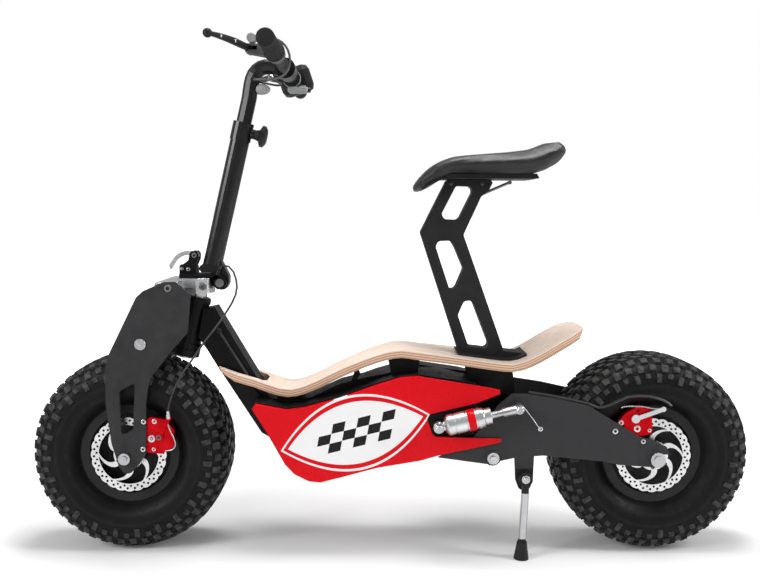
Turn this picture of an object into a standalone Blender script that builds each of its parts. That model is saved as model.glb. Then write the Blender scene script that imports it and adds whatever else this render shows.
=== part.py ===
"""Electric scooter with a plywood deck, fat tyres, a swing arm and a bolted-on seat.

X points to the rear, Y to the scooter's right and Z up. The ground is Z = 0 and X = 0 is half way between
the axles. Outlines in the side view are written in millimetres from the datum, which is half way between the
axles at their height.
"""

import math

import bmesh
import bpy
from mathutils import Matrix, Vector

MM = 0.001

# Overall sizes. The outlines were drawn for a wheelbase of 975 mm, and every x follows the real one.
WHEELBASE = 975 * MM
LONG = WHEELBASE / 0.975
FIT = 0.3 * MM

# Tyres and rims
TYRE_RADIUS = 184 * MM
TYRE_WIDTH = 144 * MM
TREAD_DEPTH = 6 * MM
TREAD_FLAT = 84 * MM
TREAD_SEGMENTS = 32
RIM_RADIUS = 92 * MM
RIM_WIDTH = 100 * MM
RIM_WALL = 4 * MM
BEAD_SEAT_RADIUS = 80 * MM
RIM_STEPS = 24
HUB_RADIUS = 27 * MM
HUB_LENGTH_RIGHT = 48 * MM

# Brake discs
DISC_RADIUS = 69 * MM
DISC_WAVE = 1.6 * MM
DISC_LOBES = 10
DISC_BAND = 15 * MM
DISC_THICKNESS = 2 * MM
DISC_OFFSET = 59.5 * MM
DISC_SPOKES = 6
DISC_HOLES = 10
DISC_HOLE_RADIUS = 3 * MM
DISC_BORE = 14 * MM
DISC_FLANGE_RADIUS = 30 * MM

# Calipers and the arms that pull them
CALIPER_INSET = 0.5 * MM
CALIPER_SPLIT = 3 * MM
DISC_SLOT = 4.4 * MM
PULL_ARM_WIDTH = 8 * MM
PULL_ARM_DEPTH = 4 * MM
PULL_ARM_BOSS = 8 * MM
PULL_ARM_END = 5 * MM

# Axles and wheel bearings
AXLE_RADIUS = 6 * MM
AXLE_NUT_RADIUS = 11 * MM
AXLE_NUT_HEIGHT = 9 * MM
BEARING_RADIUS = 16 * MM
BEARING_WIDTH = 10 * MM

# Hub motor
MOTOR_AXLE_RADIUS = 8 * MM
STATOR_RADIUS = 62 * MM
STATOR_HALF = 22 * MM

# Side plates of fork and swing arm
PLATE_GAP = 6 * MM
FORK_PLATE = 6 * MM
ARM_PLATE = 6 * MM

# Steering head
STEER_TILT = math.radians(13.1)
STEER_X = -362 * MM
STEER_Z = 311 * MM
HEAD_RADIUS = 25 * MM
HEAD_TOP = -21 * MM
HEAD_BOTTOM = -109 * MM
STEERER_RADIUS = 15 * MM
HEADSET_HEIGHT = 12 * MM
CROWN_HEIGHT = 28 * MM
CROWN_BAR_X = -408 * MM
CROWN_BAR_DEPTH = 44 * MM
CROWN_BOTTOM = 297.5 * MM
LOWER_CROWN_HEIGHT = 14 * MM
LOWER_CROWN_DEPTH = 34 * MM
CROWN_RING_RADIUS = 27 * MM
LOWER_CROWN_TOP = HEAD_BOTTOM - HEADSET_HEIGHT - FIT

# Folding hinge and stem
FOLD_X = -321 * MM
FOLD_Z = 317 * MM
KNUCKLE_WIDTH = 22 * MM
EAR_WIDTH = 11 * MM
HINGE_PLATE = Vector((62, 46, 8)) * MM
HINGE_PLATE_X = -368 * MM
LATCH_TOWER_WIDTH = 28 * MM
LATCH_GAP = 16 * MM
LATCH_WIDTH = 14 * MM
FOLD_PIN_RADIUS = 5 * MM
LATCH_X = -370 * MM
LATCH_Z = 368 * MM
STEM_FOOT_X = -338 * MM
STEM_FOOT_Z = 350 * MM
STEM_RADIUS = 18 * MM
STEM_LENGTH = 272 * MM
UPPER_RADIUS = 14.2 * MM
UPPER_OVERLAP = 150 * MM
STEM_BORE = 196 * MM
COLLAR_RADIUS = 19.6 * MM
COLLAR_HEIGHT = 34 * MM
KNOB_SHAFT = 6 * MM
KNOB_RADIUS = 20 * MM
KNOB_NECK = 9 * MM
KNOB_HEIGHT = 24 * MM
KNOB_RIM = 6 * MM
BOSS_RADIUS = 9 * MM
BOSS_HEIGHT = 3 * MM

# Handlebar
BAR_X = -197 * MM
BAR_Z = 712 * MM
BAR_RADIUS = 11.1 * MM
BAR_HALF = 312 * MM
CLAMP_RADIUS = 19 * MM
CLAMP_HALF = 24 * MM
GRIP_RADIUS = 14.6 * MM
GRIP_LENGTH = 122 * MM
GRIP_FLANGE = 17.5 * MM
PERCH_WIDTH = 24 * MM
PERCH_RADIUS = 16 * MM
LEVER_PIVOT_REACH = 40 * MM
LEVER_PIVOT_RISE = 7 * MM
LEVER_LENGTH = 119 * MM
LEVER_LENGTH_RIGHT = 150 * MM
GRIP_INNER = BAR_HALF + 4.3 * MM - GRIP_LENGTH
PERCH_LEFT = GRIP_INNER - 18.3 * MM
HOUSING_OUT = GRIP_INNER - 2.3 * MM
HOUSING_WIDTH = 39 * MM
HOUSING_IN = HOUSING_OUT - HOUSING_WIDTH
PERCH_RIGHT = HOUSING_IN - 15 * MM
HOUSING_DEPTH = 66 * MM
HOUSING_HEIGHT = 56 * MM
HOUSING_EDGE = 13 * MM
HOUSING_TURN = math.radians(-18)
HORN_Y = PERCH_RIGHT - 24.5 * MM
HORN_RADIUS = 17 * MM
HORN_WIDTH = 20 * MM
BUTTON_RADIUS = 5 * MM
BUTTON_TRAVEL = 2.5 * MM
LEVER_RADIUS = 5.2 * MM
LEVER_BALL = 7.5 * MM
LEVER_RISE = 5 * MM
LEVER_EYE = 8 * MM
LEVER_EYE_HEIGHT = 6 * MM
LEVER_ROOT = 2.6 * MM
LEVER_SPLAY = math.radians(26)

# Frame
DOWN_TUBE_WIDTH = 50 * MM
SPINE_WIDTH = 60 * MM
SPINE_DEPTH = 14 * MM
REAR_POST_WIDTH = 50 * MM
PIVOT_X = 186 * MM
PIVOT_Z = 2 * MM
PIVOT_RADIUS = 8 * MM
PIVOT_TUBE_RADIUS = 17 * MM
PIVOT_NUT_RADIUS = 13 * MM
PIVOT_NUT_HEIGHT = 7 * MM
SUPPORT_WIDTH = 80 * MM
SPINE_TOP = [
    (-262, 122), (-243, 102), (-191, 97), (-153, 101), (-96, 128), (-40, 142), (16, 153), (92, 150),
    (167, 132), (231, 116),
]

# Body
BODY_HALF = 85.3 * MM
BODY_INNER = 77 * MM
BODY_WALL = 4 * MM
PANEL_THICKNESS = 3.2 * MM
PANEL_LINE = [
    (-261, 103), (-234, 98), (-192, 90), (-161, 94), (-98, 111), (-26, 137), (16, 150), (51, 153),
    (134, 140), (181, 132), (209, 126), (154, 104), (62, 82), (76, 42), (108, 41), (205, 38), (196, 31),
    (127, 16), (90, 8), (52, -3), (-25, -16), (-88, -33), (-130, -44), (-151, -42), (-177, -29),
    (-193, -12), (-220, 37),
]
BODY_LINE = [
    (-264, 105), (-234, 101), (-192, 93), (-161, 97), (-98, 114), (-26, 140), (16, 152), (51, 155),
    (134, 143), (160, 136), (160, 34), (127, 13), (90, 5), (52, -6), (-25, -19), (-88, -36), (-130, -47),
    (-152, -45), (-179, -32), (-196, -14), (-223, 35),
]
HOLLOW_LINE = [
    (-196, 78), (-161, 80), (-98, 96), (-30, 121), (16, 133), (64, 133), (64, 8), (-25, -10), (-88, -27),
    (-130, -38), (-150, -36), (-172, -26), (-184, -8), (-200, 37),
]
BATTERY_SIZE = Vector((150 * LONG, 110, 74)) * MM
BATTERY_PLACE = (-131, -38)
BATTERY_SLOPE = math.atan(0.26664 / LONG)
CONTROLLER_SIZE = Vector((42 * LONG, 120, 62)) * MM
CONTROLLER_PLACE = (17, -1.4)
CONTROLLER_SLOPE = math.atan(0.20218 / LONG)
CONTROLLER_GROOVES = 5
GROOVE_WIDTH = 8 * MM

# Deck
DECK_THICKNESS = 14 * MM
DECK_NOTCH = 32 * MM
DECK_TOP = [
    (-322, 162), (-287, 149), (-252, 139), (-222, 128), (-193, 121), (-167, 126), (-136, 139), (-105, 155),
    (-60, 175), (-16, 191), (17, 197), (52, 193), (122, 185), (184, 177), (222, 174), (249, 182), (280, 199),
    (310, 217), (337, 231), (357, 238),
]
DECK_PLAN = [
    (-324, 33), (-318, 45), (-290, 50), (-240, 51), (-180, 51), (-110, 54), (-30, 60), (60, 66), (150, 73),
    (230, 79), (290, 82), (325, 79), (345, 66), (355, 44), (358, 15),
]

# Seat and its post
POST_WIDTH = 36 * MM
POST_FOOT = 4 * MM
POST_FOOT_WIDTH = 84 * MM
SEAT_PAN_WIDTH = 116 * MM
SEAT_MIDDLE = 175 * MM
SEAT_HALF = 138 * MM
SEAT_NOSE_HALF = 58 * MM
SEAT_TAIL_HALF = 90 * MM
SEAT_TOP = [
    (37, 500), (56, 523), (81, 542), (106, 550), (147, 554), (199, 558), (237, 562), (262, 569), (292, 579),
    (313, 566),
]
SEAT_LOW = [
    (37, 492), (58, 495), (76, 506), (95, 517), (160, 520), (230, 520), (262, 523), (290, 535), (313, 552),
]

# Shocks
SHOCK_FRONT_X = 85 * MM
SHOCK_FRONT_Z = 64 * MM
SHOCK_REAR_X = 229 * MM
SHOCK_REAR_Z = 98 * MM
SHOCK_RADIUS = 19 * MM
SHOCK_SHAFT = 6.5 * MM
SHOCK_EYE = 9 * MM
SHOCK_BOLT = 4 * MM
SHOCK_GAP = 3 * MM
SHOCK_START = 17 * MM
SHOCK_BODY_END = 73 * MM
SHOCK_COLLAR_END = 86 * MM
SHOCK_COLLAR = 13 * MM
SHOCK_EYE_WIDTH = 14 * MM
SPACER_RADIUS = 8 * MM
MOUNT_TUBE_RADIUS = 13 * MM

# Swing arm's bridge
BRIDGE_GAP = 13.5 * MM

# Side stand
STAND_X = 245 * MM
STAND_Z = -35 * MM
STAND_LEG_RADIUS = 7 * MM
STAND_KNUCKLE = 15 * MM
STAND_FOOT_HEIGHT = 28 * MM
STAND_FOOT_RADIUS = 14 * MM
STAND_LIFT = 0.2 * MM
STAND_BOLT = 5 * MM

# Cables
CABLE_RADIUS = 2.5 * MM

AXLE_Z = TYRE_RADIUS
FRONT_X = -WHEELBASE / 2
REAR_X = WHEELBASE / 2
PLATE_IN = TYRE_WIDTH / 2 + PLATE_GAP
FORK_Y = PLATE_IN + FORK_PLATE / 2
ARM_Y = PLATE_IN + ARM_PLATE / 2
ARM_OUT = PLATE_IN + ARM_PLATE
SHOCK_Y = ARM_OUT + SHOCK_GAP + SHOCK_RADIUS
HUB_LEFT = DISC_OFFSET - DISC_THICKNESS / 2 - FIT
STEER_UP = Vector((math.sin(STEER_TILT), 0, math.cos(STEER_TILT)))
STEM_BACK = Vector((math.cos(STEER_TILT), 0, -math.sin(STEER_TILT)))

# Colour, roughness and metallic of each finish
LOOKS = {
    "powder_grey": ((0.045, 0.046, 0.048), 0.62, 0.3),
    "frame_black": ((0.012, 0.012, 0.013), 0.42, 0.4),
    "silver": ((0.62, 0.63, 0.65), 0.3, 1.0),
    "steel": ((0.42, 0.43, 0.44), 0.35, 1.0),
    "red_gloss": ((0.52, 0.008, 0.012), 0.18, 0.0),
    "red_anodised": ((0.55, 0.01, 0.015), 0.35, 0.8),
    "rubber": ((0.012, 0.012, 0.012), 0.85, 0.0),
    "wood": ((0.72, 0.5, 0.34), 0.5, 0.0),
    "vinyl": ((0.016, 0.016, 0.017), 0.55, 0.0),
    "black_plastic": ((0.015, 0.015, 0.016), 0.5, 0.0),
    "grey_plastic": ((0.38, 0.39, 0.4), 0.45, 0.0),
    "blue_wrap": ((0.02, 0.08, 0.25), 0.6, 0.0),
}

PARTS = None
CUTTERS = None
DATUM = Vector((0, 0, AXLE_Z))
FRONT_AXLE = Vector((FRONT_X, 0, AXLE_Z))
REAR_AXLE = Vector((REAR_X, 0, AXLE_Z))


# Points and outlines
def at(x, y, z):
    """The world point for a place drawn in metres from the datum."""
    return DATUM + Vector((x * LONG, y, z))


def mm(pairs):
    """Drawn millimetre pairs of the side view as metres."""
    return [(first * MM * LONG, second * MM) for first, second in pairs]


def ring_points(x, z, radius, steps, first=0.0, last=360.0):
    """Points on a circle in the side view, or on its arc between two angles."""
    whole = last - first >= 360
    places = range(steps if whole else steps + 1)
    angles = [math.radians(first + (last - first) * place / steps) for place in places]
    return [(x + radius * math.cos(a), z + radius * math.sin(a)) for a in angles]


def rounded(points, radius, steps=3):
    """The closed outline with its corners rounded as far as the sides allow."""
    result = []
    for index, place in enumerate(points):
        corner = Vector(place)
        before = Vector(points[index - 1]) - corner
        after = Vector(points[(index + 1) % len(points)]) - corner
        half = before.angle(after) / 2
        if half > math.radians(80):
            result.append(tuple(corner))
            continue
        reach = min(radius / math.tan(half), 0.45 * before.length, 0.45 * after.length)
        start = corner + before.normalized() * reach
        end = corner + after.normalized() * reach
        for step in range(steps + 1):
            t = step / steps
            point = (1 - t) ** 2 * start + 2 * t * (1 - t) * corner + t * t * end
            result.append(tuple(point))
    return result


def through(points, steps):
    """A smooth line through the points, with the given number of steps between neighbours."""
    given = [Vector(point) for point in points]
    given = [2 * given[0] - given[1]] + given + [2 * given[-1] - given[-2]]
    line = []
    for index in range(1, len(given) - 2):
        a, b, c, d = given[index - 1 : index + 3]
        for step in range(steps):
            t = step / steps
            point = (2 * b + (c - a) * t + (2 * a - 5 * b + 4 * c - d) * t * t) / 2
            line.append(point + (3 * b - a - 3 * c + d) * t * t * t / 2)
    return line + [given[-2]]


def height_on(line, x):
    """The height of a line of points at x."""
    for left, right in zip(line, line[1:]):
        if left[0] <= x <= right[0]:
            share = (x - left[0]) / (right[0] - left[0])
            return left[1] + share * (right[1] - left[1])
    raise ValueError("the line does not reach that far")


# Shapes
def shape(data, matrix):
    """An object that starts among the helpers."""
    obj = bpy.data.objects.new("shape", data)
    CUTTERS.objects.link(obj)
    obj.matrix_world = matrix
    obj.display_type = "WIRE"
    obj.hide_render = True
    return obj


def as_mesh(obj):
    """The curve object replaced by a welded mesh at the same place."""
    bpy.context.view_layer.update()
    graph = bpy.context.evaluated_depsgraph_get()
    mesh = bpy.data.meshes.new_from_object(obj.evaluated_get(graph))
    matrix = obj.matrix_world.copy()
    curve = obj.data
    bpy.data.objects.remove(obj)
    bpy.data.curves.remove(curve)
    welded = bmesh.new()
    welded.from_mesh(mesh)
    bmesh.ops.remove_doubles(welded, verts=welded.verts, dist=1e-6)
    bmesh.ops.recalc_face_normals(welded, faces=welded.faces)
    if welded.calc_volume(signed=True) < 0:
        bmesh.ops.reverse_faces(welded, faces=welded.faces)
    welded.to_mesh(mesh)
    welded.free()
    return shape(mesh, matrix)


def prism(lines, thickness, matrix):
    """A flat outline, with any windows in it, given a thickness along its own Z."""
    curve = bpy.data.curves.new("outline", "CURVE")
    curve.dimensions = "2D"
    curve.fill_mode = "BOTH"
    curve.extrude = thickness / 2
    for line in lines:
        spline = curve.splines.new("POLY")
        spline.points.add(len(line) - 1)
        for point, place in zip(spline.points, line):
            point.co = (place[0], place[1], 0, 1)
        spline.use_cyclic_u = True
    return as_mesh(shape(curve, matrix))


def plate(outline, centre_y, thickness, windows=()):
    """A plate that stands in the side view, from an outline in metres from the datum."""
    upright = Matrix.Rotation(math.radians(90), 4, "X")
    return prism((outline, *windows), thickness, Matrix.Translation(at(0, centre_y, 0)) @ upright)


def along(start, end):
    """The matrix at the middle of two points with Z along them."""
    turn = (end - start).to_track_quat("Z", "Y").to_matrix().to_4x4()
    return Matrix.Translation((start + end) / 2) @ turn


def rod(start, end, radius, far_radius=None, sides=16):
    """A round bar, or a cone, between two world points."""
    start = Vector(start)
    end = Vector(end)
    mesh = bpy.data.meshes.new("rod")
    made = bmesh.new()
    far = radius if far_radius is None else far_radius
    length = (end - start).length
    bmesh.ops.create_cone(made, cap_ends=True, segments=sides, radius1=radius, radius2=far, depth=length)
    for face in made.faces:
        face.smooth = len(face.verts) == 4
    made.to_mesh(mesh)
    made.free()
    return shape(mesh, along(start, end))


def ball(centre, radius, scale=(1, 1, 1), sides=16, rings=10):
    """A ball or ellipsoid."""
    mesh = bpy.data.meshes.new("ball")
    made = bmesh.new()
    bmesh.ops.create_uvsphere(made, u_segments=sides, v_segments=rings, radius=radius)
    bmesh.ops.scale(made, vec=Vector(scale), verts=made.verts)
    for face in made.faces:
        face.smooth = True
    made.to_mesh(mesh)
    made.free()
    return shape(mesh, Matrix.Translation(centre))


def block(size, centre, edge=0.0, turn=None, segments=2):
    """A box with rounded edges."""
    mesh = bpy.data.meshes.new("block")
    made = bmesh.new()
    bmesh.ops.create_cube(made, size=1)
    bmesh.ops.scale(made, vec=Vector(size), verts=made.verts)
    made.to_mesh(mesh)
    made.free()
    obj = shape(mesh, Matrix.Translation(centre) @ (turn or Matrix()))
    if edge:
        soften(obj, edge, segments)
    return obj


def turned(profile, centre, steps, axis=(0, -1, 0)):
    """A profile of (radius, height) turned about an axis. It runs down its outer side."""
    mesh = bpy.data.meshes.new("profile")
    count = len(profile)
    edges = [(index, index + 1) for index in range(count - 1)]
    if profile[0][0] > 0:
        edges.append((count - 1, 0))
    mesh.from_pydata([(radius, 0, height) for radius, height in profile], edges, [])
    turn = Vector(axis).to_track_quat("Z", "Y").to_matrix().to_4x4()
    obj = shape(mesh, Matrix.Translation(centre) @ turn)
    screw = obj.modifiers.new("turn", "SCREW")
    screw.steps = steps
    screw.render_steps = steps
    screw.use_merge_vertices = True
    screw.merge_threshold = 1e-5
    return obj


def tube(points, radius, resolution=2):
    """A round bar along a line of world points."""
    curve = bpy.data.curves.new("line", "CURVE")
    curve.dimensions = "3D"
    curve.bevel_depth = radius
    curve.bevel_resolution = resolution
    curve.use_fill_caps = True
    spline = curve.splines.new("POLY")
    spline.points.add(len(points) - 1)
    for point, place in zip(spline.points, points):
        point.co = (*place, 1)
    return as_mesh(shape(curve, Matrix()))


def soften(obj, width, segments=2, angle=30):
    """Rounded edges wherever two faces meet at more than the angle."""
    bevel = obj.modifiers.new("soften", "BEVEL")
    bevel.width = width
    bevel.segments = segments
    bevel.limit_method = "ANGLE"
    bevel.angle_limit = math.radians(angle)
    return obj


def combine(obj, others, operation):
    for other in others:
        other.parent = obj
        other.matrix_parent_inverse = obj.matrix_world.inverted()
        modifier = obj.modifiers.new(operation.lower(), "BOOLEAN")
        modifier.operation = operation
        modifier.solver = "EXACT"
        modifier.object = other
    return obj


def join(obj, *others):
    return combine(obj, others, "UNION")


def cut(obj, *others):
    return combine(obj, others, "DIFFERENCE")


def keep(obj, *others):
    return combine(obj, others, "INTERSECT")


def part(name, obj, look):
    """Makes a shape a piece of the scooter, with a name and a finish."""
    CUTTERS.objects.unlink(obj)
    PARTS.objects.link(obj)
    obj.name = name
    obj.data.name = name
    obj.display_type = "TEXTURED"
    obj.hide_render = False
    material = bpy.data.materials.new(name)
    material.use_nodes = True
    shader = material.node_tree.nodes["Principled BSDF"]
    colour, roughness, metallic = LOOKS[look]
    shader.inputs["Base Color"].default_value = (*colour, 1)
    shader.inputs["Roughness"].default_value = roughness
    shader.inputs["Metallic"].default_value = metallic
    material.diffuse_color = (*colour, 1)
    obj.data.materials.clear()
    obj.data.materials.append(material)
    return obj


def carrier(name, point, pieces):
    """An empty on a joint's axis that carries the pieces which move about it."""
    empty = bpy.data.objects.new(name, None)
    PARTS.objects.link(empty)
    empty.matrix_world = Matrix.Translation(point)
    for piece in pieces:
        piece.parent = empty
        piece.matrix_parent_inverse = empty.matrix_world.inverted()
    return empty


# Wheels
def tyre(name, axle):
    """A hollow tyre whose crown carries staggered blocks."""
    half_flat = TREAD_FLAT / 2
    widest = TYRE_WIDTH / 2
    crown = TYRE_RADIUS - TREAD_DEPTH
    seat = (BEAD_SEAT_RADIUS + FIT) / math.cos(math.pi / TREAD_SEGMENTS)
    bead = RIM_WIDTH / 2 - RIM_WALL - FIT
    lip = RIM_RADIUS + 2 * MM
    wall = 10 * MM
    side = [
        (crown - 10 * MM, -widest + 8 * MM),
        (crown - 38 * MM, -widest),
        (lip, -bead),
        (seat, -bead),
        (seat, -bead + wall),
        (crown - 20 * MM, -widest + wall + 8 * MM),
    ]
    profile = [(crown, half_flat * step / 2) for step in (2, 1, 0, -1, -2)] + side
    profile += [(radius, -height) for radius, height in reversed(side)]
    # Each flat of the tread then lies at the tyre's radius.
    stretch = 1 / math.cos(math.pi / TREAD_SEGMENTS)
    profile = [(radius * stretch if radius > lip + 30 * MM else radius, height) for radius, height in profile]
    carcass = turned(profile, axle, TREAD_SEGMENTS)
    carcass.rotation_euler.rotate_axis("Z", math.pi / TREAD_SEGMENTS)
    bpy.context.view_layer.update()
    graph = bpy.context.evaluated_depsgraph_get()
    mesh = bpy.data.meshes.new_from_object(carcass.evaluated_get(graph))
    matrix = carcass.matrix_world.copy()
    bpy.data.objects.remove(carcass)
    made = bmesh.new()
    made.from_mesh(mesh)
    raised = []
    for face in made.faces:
        middle = face.calc_center_median()
        if math.hypot(middle.x, middle.y) < crown - 1 * MM or abs(middle.z) > half_flat:
            continue
        if math.hypot(face.normal.x, face.normal.y) < 0.9:
            continue
        turn = math.atan2(middle.y, middle.x) / (2 * math.pi) * TREAD_SEGMENTS
        column = math.floor(middle.z / (half_flat / 2))
        if (round(turn) + column) % 2 == 0:
            raised.append(face)
    bmesh.ops.inset_individual(made, faces=raised, thickness=3 * MM, depth=TREAD_DEPTH)
    made.to_mesh(mesh)
    made.free()
    return part(name, shape(mesh, matrix), "rubber")


def rim_outside():
    """The outer side of a rim, from its left flange to its right one."""
    edge = RIM_WIDTH / 2
    return [
        (RIM_RADIUS, edge),
        (RIM_RADIUS, edge - RIM_WALL),
        (BEAD_SEAT_RADIUS, edge - RIM_WALL),
        (BEAD_SEAT_RADIUS, -edge + RIM_WALL),
        (RIM_RADIUS, -edge + RIM_WALL),
        (RIM_RADIUS, -edge),
    ]


def front_rim():
    """A rim with a web and a hub that holds two bearings."""
    edge = RIM_WIDTH / 2
    inner = BEAD_SEAT_RADIUS - RIM_WALL
    left = HUB_LEFT
    right = HUB_LENGTH_RIGHT
    seat = BEARING_RADIUS + FIT
    bore = BEARING_RADIUS - 4 * MM
    depth = BEARING_WIDTH + 2 * FIT
    inside = [
        (inner, -edge),
        (inner, -4 * MM),
        (HUB_RADIUS, -4 * MM),
        (HUB_RADIUS, -right),
        (seat, -right),
        (seat, -right + depth),
        (bore, -right + depth),
        (bore, left - depth),
        (seat, left - depth),
        (seat, left),
        (HUB_RADIUS, left),
        (HUB_RADIUS, 4 * MM),
        (inner, 4 * MM),
        (inner, edge),
    ]
    return part("front_rim", turned(rim_outside() + inside, FRONT_AXLE, RIM_STEPS), "frame_black")


def rear_rim():
    """A rim that is also the shell of the hub motor, open to the right."""
    edge = RIM_WIDTH / 2
    inner = BEAD_SEAT_RADIUS - RIM_WALL
    well = inner - 5 * MM
    bore = MOTOR_AXLE_RADIUS + FIT
    inside = [
        (inner, -edge),
        (inner, -34 * MM),
        (well, -34 * MM),
        (well, 28 * MM),
        (bore, 28 * MM),
        (bore, HUB_LEFT),
        (HUB_RADIUS, HUB_LEFT),
        (HUB_RADIUS, 34 * MM),
        (inner, 34 * MM),
        (inner, edge),
    ]
    return part("rear_rim", turned(rim_outside() + inside, REAR_AXLE, RIM_STEPS), "frame_black")


def motor_cover():
    """The ribbed cover that closes the motor on its right side."""
    outer = BEAD_SEAT_RADIUS - RIM_WALL - FIT
    face = -34 * MM - FIT
    bore = MOTOR_AXLE_RADIUS + FIT
    profile = [
        (outer, face),
        (outer, face - 4 * MM),
        (outer - 14 * MM, face - 4 * MM),
        (outer - 20 * MM, face - 9 * MM),
        (HUB_RADIUS, face - 5 * MM),
        (HUB_RADIUS - 3 * MM, face - 14 * MM),
        (bore, face - 14 * MM),
        (bore, face),
    ]
    return part("motor_cover", turned(profile, REAR_AXLE, RIM_STEPS), "frame_black")


def disc(name, axle):
    """A brake disc with a wavy edge, curved arms and drilled holes."""
    wave = []
    for step in range(DISC_LOBES * 4):
        turn = 2 * math.pi * step / (DISC_LOBES * 4)
        radius = DISC_RADIUS + DISC_WAVE * math.cos(DISC_LOBES * turn)
        wave.append((radius * math.cos(turn), radius * math.sin(turn)))
    lines = [wave, ring_points(0, 0, DISC_BORE, 12)]
    outer = DISC_RADIUS - DISC_BAND
    share = 2 * math.pi / DISC_SPOKES
    lean = 0.42
    for index in range(DISC_SPOKES):
        start = index * share
        window = []
        for step in range(4):
            turn = start + share * (0.12 + 0.76 * step / 3)
            window.append((outer * math.cos(turn), outer * math.sin(turn)))
        middle = (outer + DISC_FLANGE_RADIUS) / 2
        turn = start + share * 0.86 + lean * 0.35
        window.append((middle * math.cos(turn), middle * math.sin(turn)))
        for step in range(2):
            turn = start + lean + share * (0.8 - 0.6 * step)
            window.append((DISC_FLANGE_RADIUS * math.cos(turn), DISC_FLANGE_RADIUS * math.sin(turn)))
        turn = start + share * 0.1 + lean * 0.35
        window.append((middle * math.cos(turn), middle * math.sin(turn)))
        lines.append(window)
    for index in range(DISC_HOLES):
        turn = 2 * math.pi * (index + 0.5) / DISC_HOLES
        radius = DISC_RADIUS - DISC_BAND * 0.48
        lines.append(ring_points(radius * math.cos(turn), radius * math.sin(turn), DISC_HOLE_RADIUS, 5))
    upright = Matrix.Rotation(math.radians(90), 4, "X")
    place = Matrix.Translation(axle + Vector((0, -DISC_OFFSET, 0)))
    return part(name, prism(lines, DISC_THICKNESS, place @ upright), "steel")


def bearing(name, side):
    """A bearing in the end of the front hub."""
    far = HUB_LEFT if side < 0 else HUB_LENGTH_RIGHT
    profile = [
        (BEARING_RADIUS, BEARING_WIDTH / 2),
        (BEARING_RADIUS, -BEARING_WIDTH / 2),
        (AXLE_RADIUS + FIT, -BEARING_WIDTH / 2),
        (AXLE_RADIUS + FIT, BEARING_WIDTH / 2),
    ]
    centre = FRONT_AXLE + Vector((0, side * (far - BEARING_WIDTH / 2 - FIT), 0))
    return part(name, turned(profile, centre, 16), "steel")


def axle_line(radius, collar, inner_right, nut, plate_out, core=()):
    """An axle with its spacers, nuts and core in one profile, from left to right."""
    inner_left = HUB_LEFT + FIT
    inside = PLATE_IN - FIT
    outside = plate_out + FIT
    end = outside + AXLE_NUT_HEIGHT
    left = [
        (0, end + 3 * MM),
        (radius, end + 3 * MM),
        (radius, end),
        (nut, end),
        (nut, outside),
        (radius, outside),
        (radius, inside),
        (collar, inside),
        (collar, inner_left),
        (radius, inner_left),
    ]
    right = [
        (radius, -inner_right),
        (collar, -inner_right),
        (collar, -inside),
        (radius, -inside),
        (radius, -outside),
        (nut, -outside),
        (nut, -end),
        (radius, -end),
        (radius, -end - 3 * MM),
        (0, -end - 3 * MM),
    ]
    return left + list(core) + right


def wheels():
    """Both wheels with their tyres, rims, discs and bearings."""
    front = [
        tyre("front_tyre", FRONT_AXLE),
        front_rim(),
        disc("front_disc", FRONT_AXLE),
        bearing("front_bearing_left", -1),
        bearing("front_bearing_right", 1),
    ]
    rear = [tyre("rear_tyre", REAR_AXLE), rear_rim(), disc("rear_disc", REAR_AXLE), motor_cover()]
    carrier("front_wheel_axis", FRONT_AXLE, front)
    carrier("rear_wheel_axis", REAR_AXLE, rear)


# Steering
def on_steer(s, back=0.0, y=0.0):
    """A point on or behind the steering axis, s above its middle place."""
    return at(STEER_X, y, STEER_Z) + s * STEER_UP + back * STEM_BACK


def tilted():
    """The turn from upright to the steering angle."""
    return Matrix.Rotation(STEER_TILT, 4, "Y")


def fork_plate(name, side):
    """One dark side plate of the fork, with its slot and bolt holes."""
    outline = mm(
        [
            (-391, 324), (-413, 323), (-449, 307), (-462, 295), (-514, 190), (-520, 167), (-521, 101),
            (-512, 28), (-500, -14), (-489, -30), (-477, -28), (-466, -16), (-450, 6), (-448, 101),
            (-444, 128), (-439, 147), (-419, 173), (-399, 199), (-370, 232), (-364, 300),
        ]
    )
    slot = mm([(-496, 118), (-495, 124), (-470, 138), (-467, 134), (-472, 51), (-494, 42)])
    hole = ring_points(FRONT_X, 0, AXLE_RADIUS + FIT, 16)
    windows = [rounded(slot, 5 * MM, 2), hole]
    obj = plate(rounded(outline, 9 * MM, 2), side * FORK_Y, FORK_PLATE, windows)
    return part(name, obj, "powder_grey")


def fork_crown_upper():
    """The silver crown: a bar between the plates and a clamp round the steerer."""
    middle = CROWN_BOTTOM + CROWN_HEIGHT / 2
    width = 2 * (PLATE_IN - FIT)
    size = (CROWN_BAR_DEPTH, width, CROWN_HEIGHT - 6 * MM)
    bar = block(size, at(CROWN_BAR_X, 0, middle), 3 * MM, segments=1)
    clamp = mm([(-400, -34), (-362, -34), (-342, -24), (-335, -10)])
    clamp += [(x, -y) for x, y in reversed(clamp)]
    flat = Matrix.Translation(at(0, 0, middle))
    head = soften(prism([rounded(clamp, 8 * MM, 1)], CROWN_HEIGHT, flat), 4 * MM, 2, 50)
    obj = join(head, bar)
    cut(obj, rod(on_steer(-60 * MM), on_steer(60 * MM), STEERER_RADIUS + FIT, sides=20))
    return part("fork_crown_upper", obj, "silver")


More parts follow.
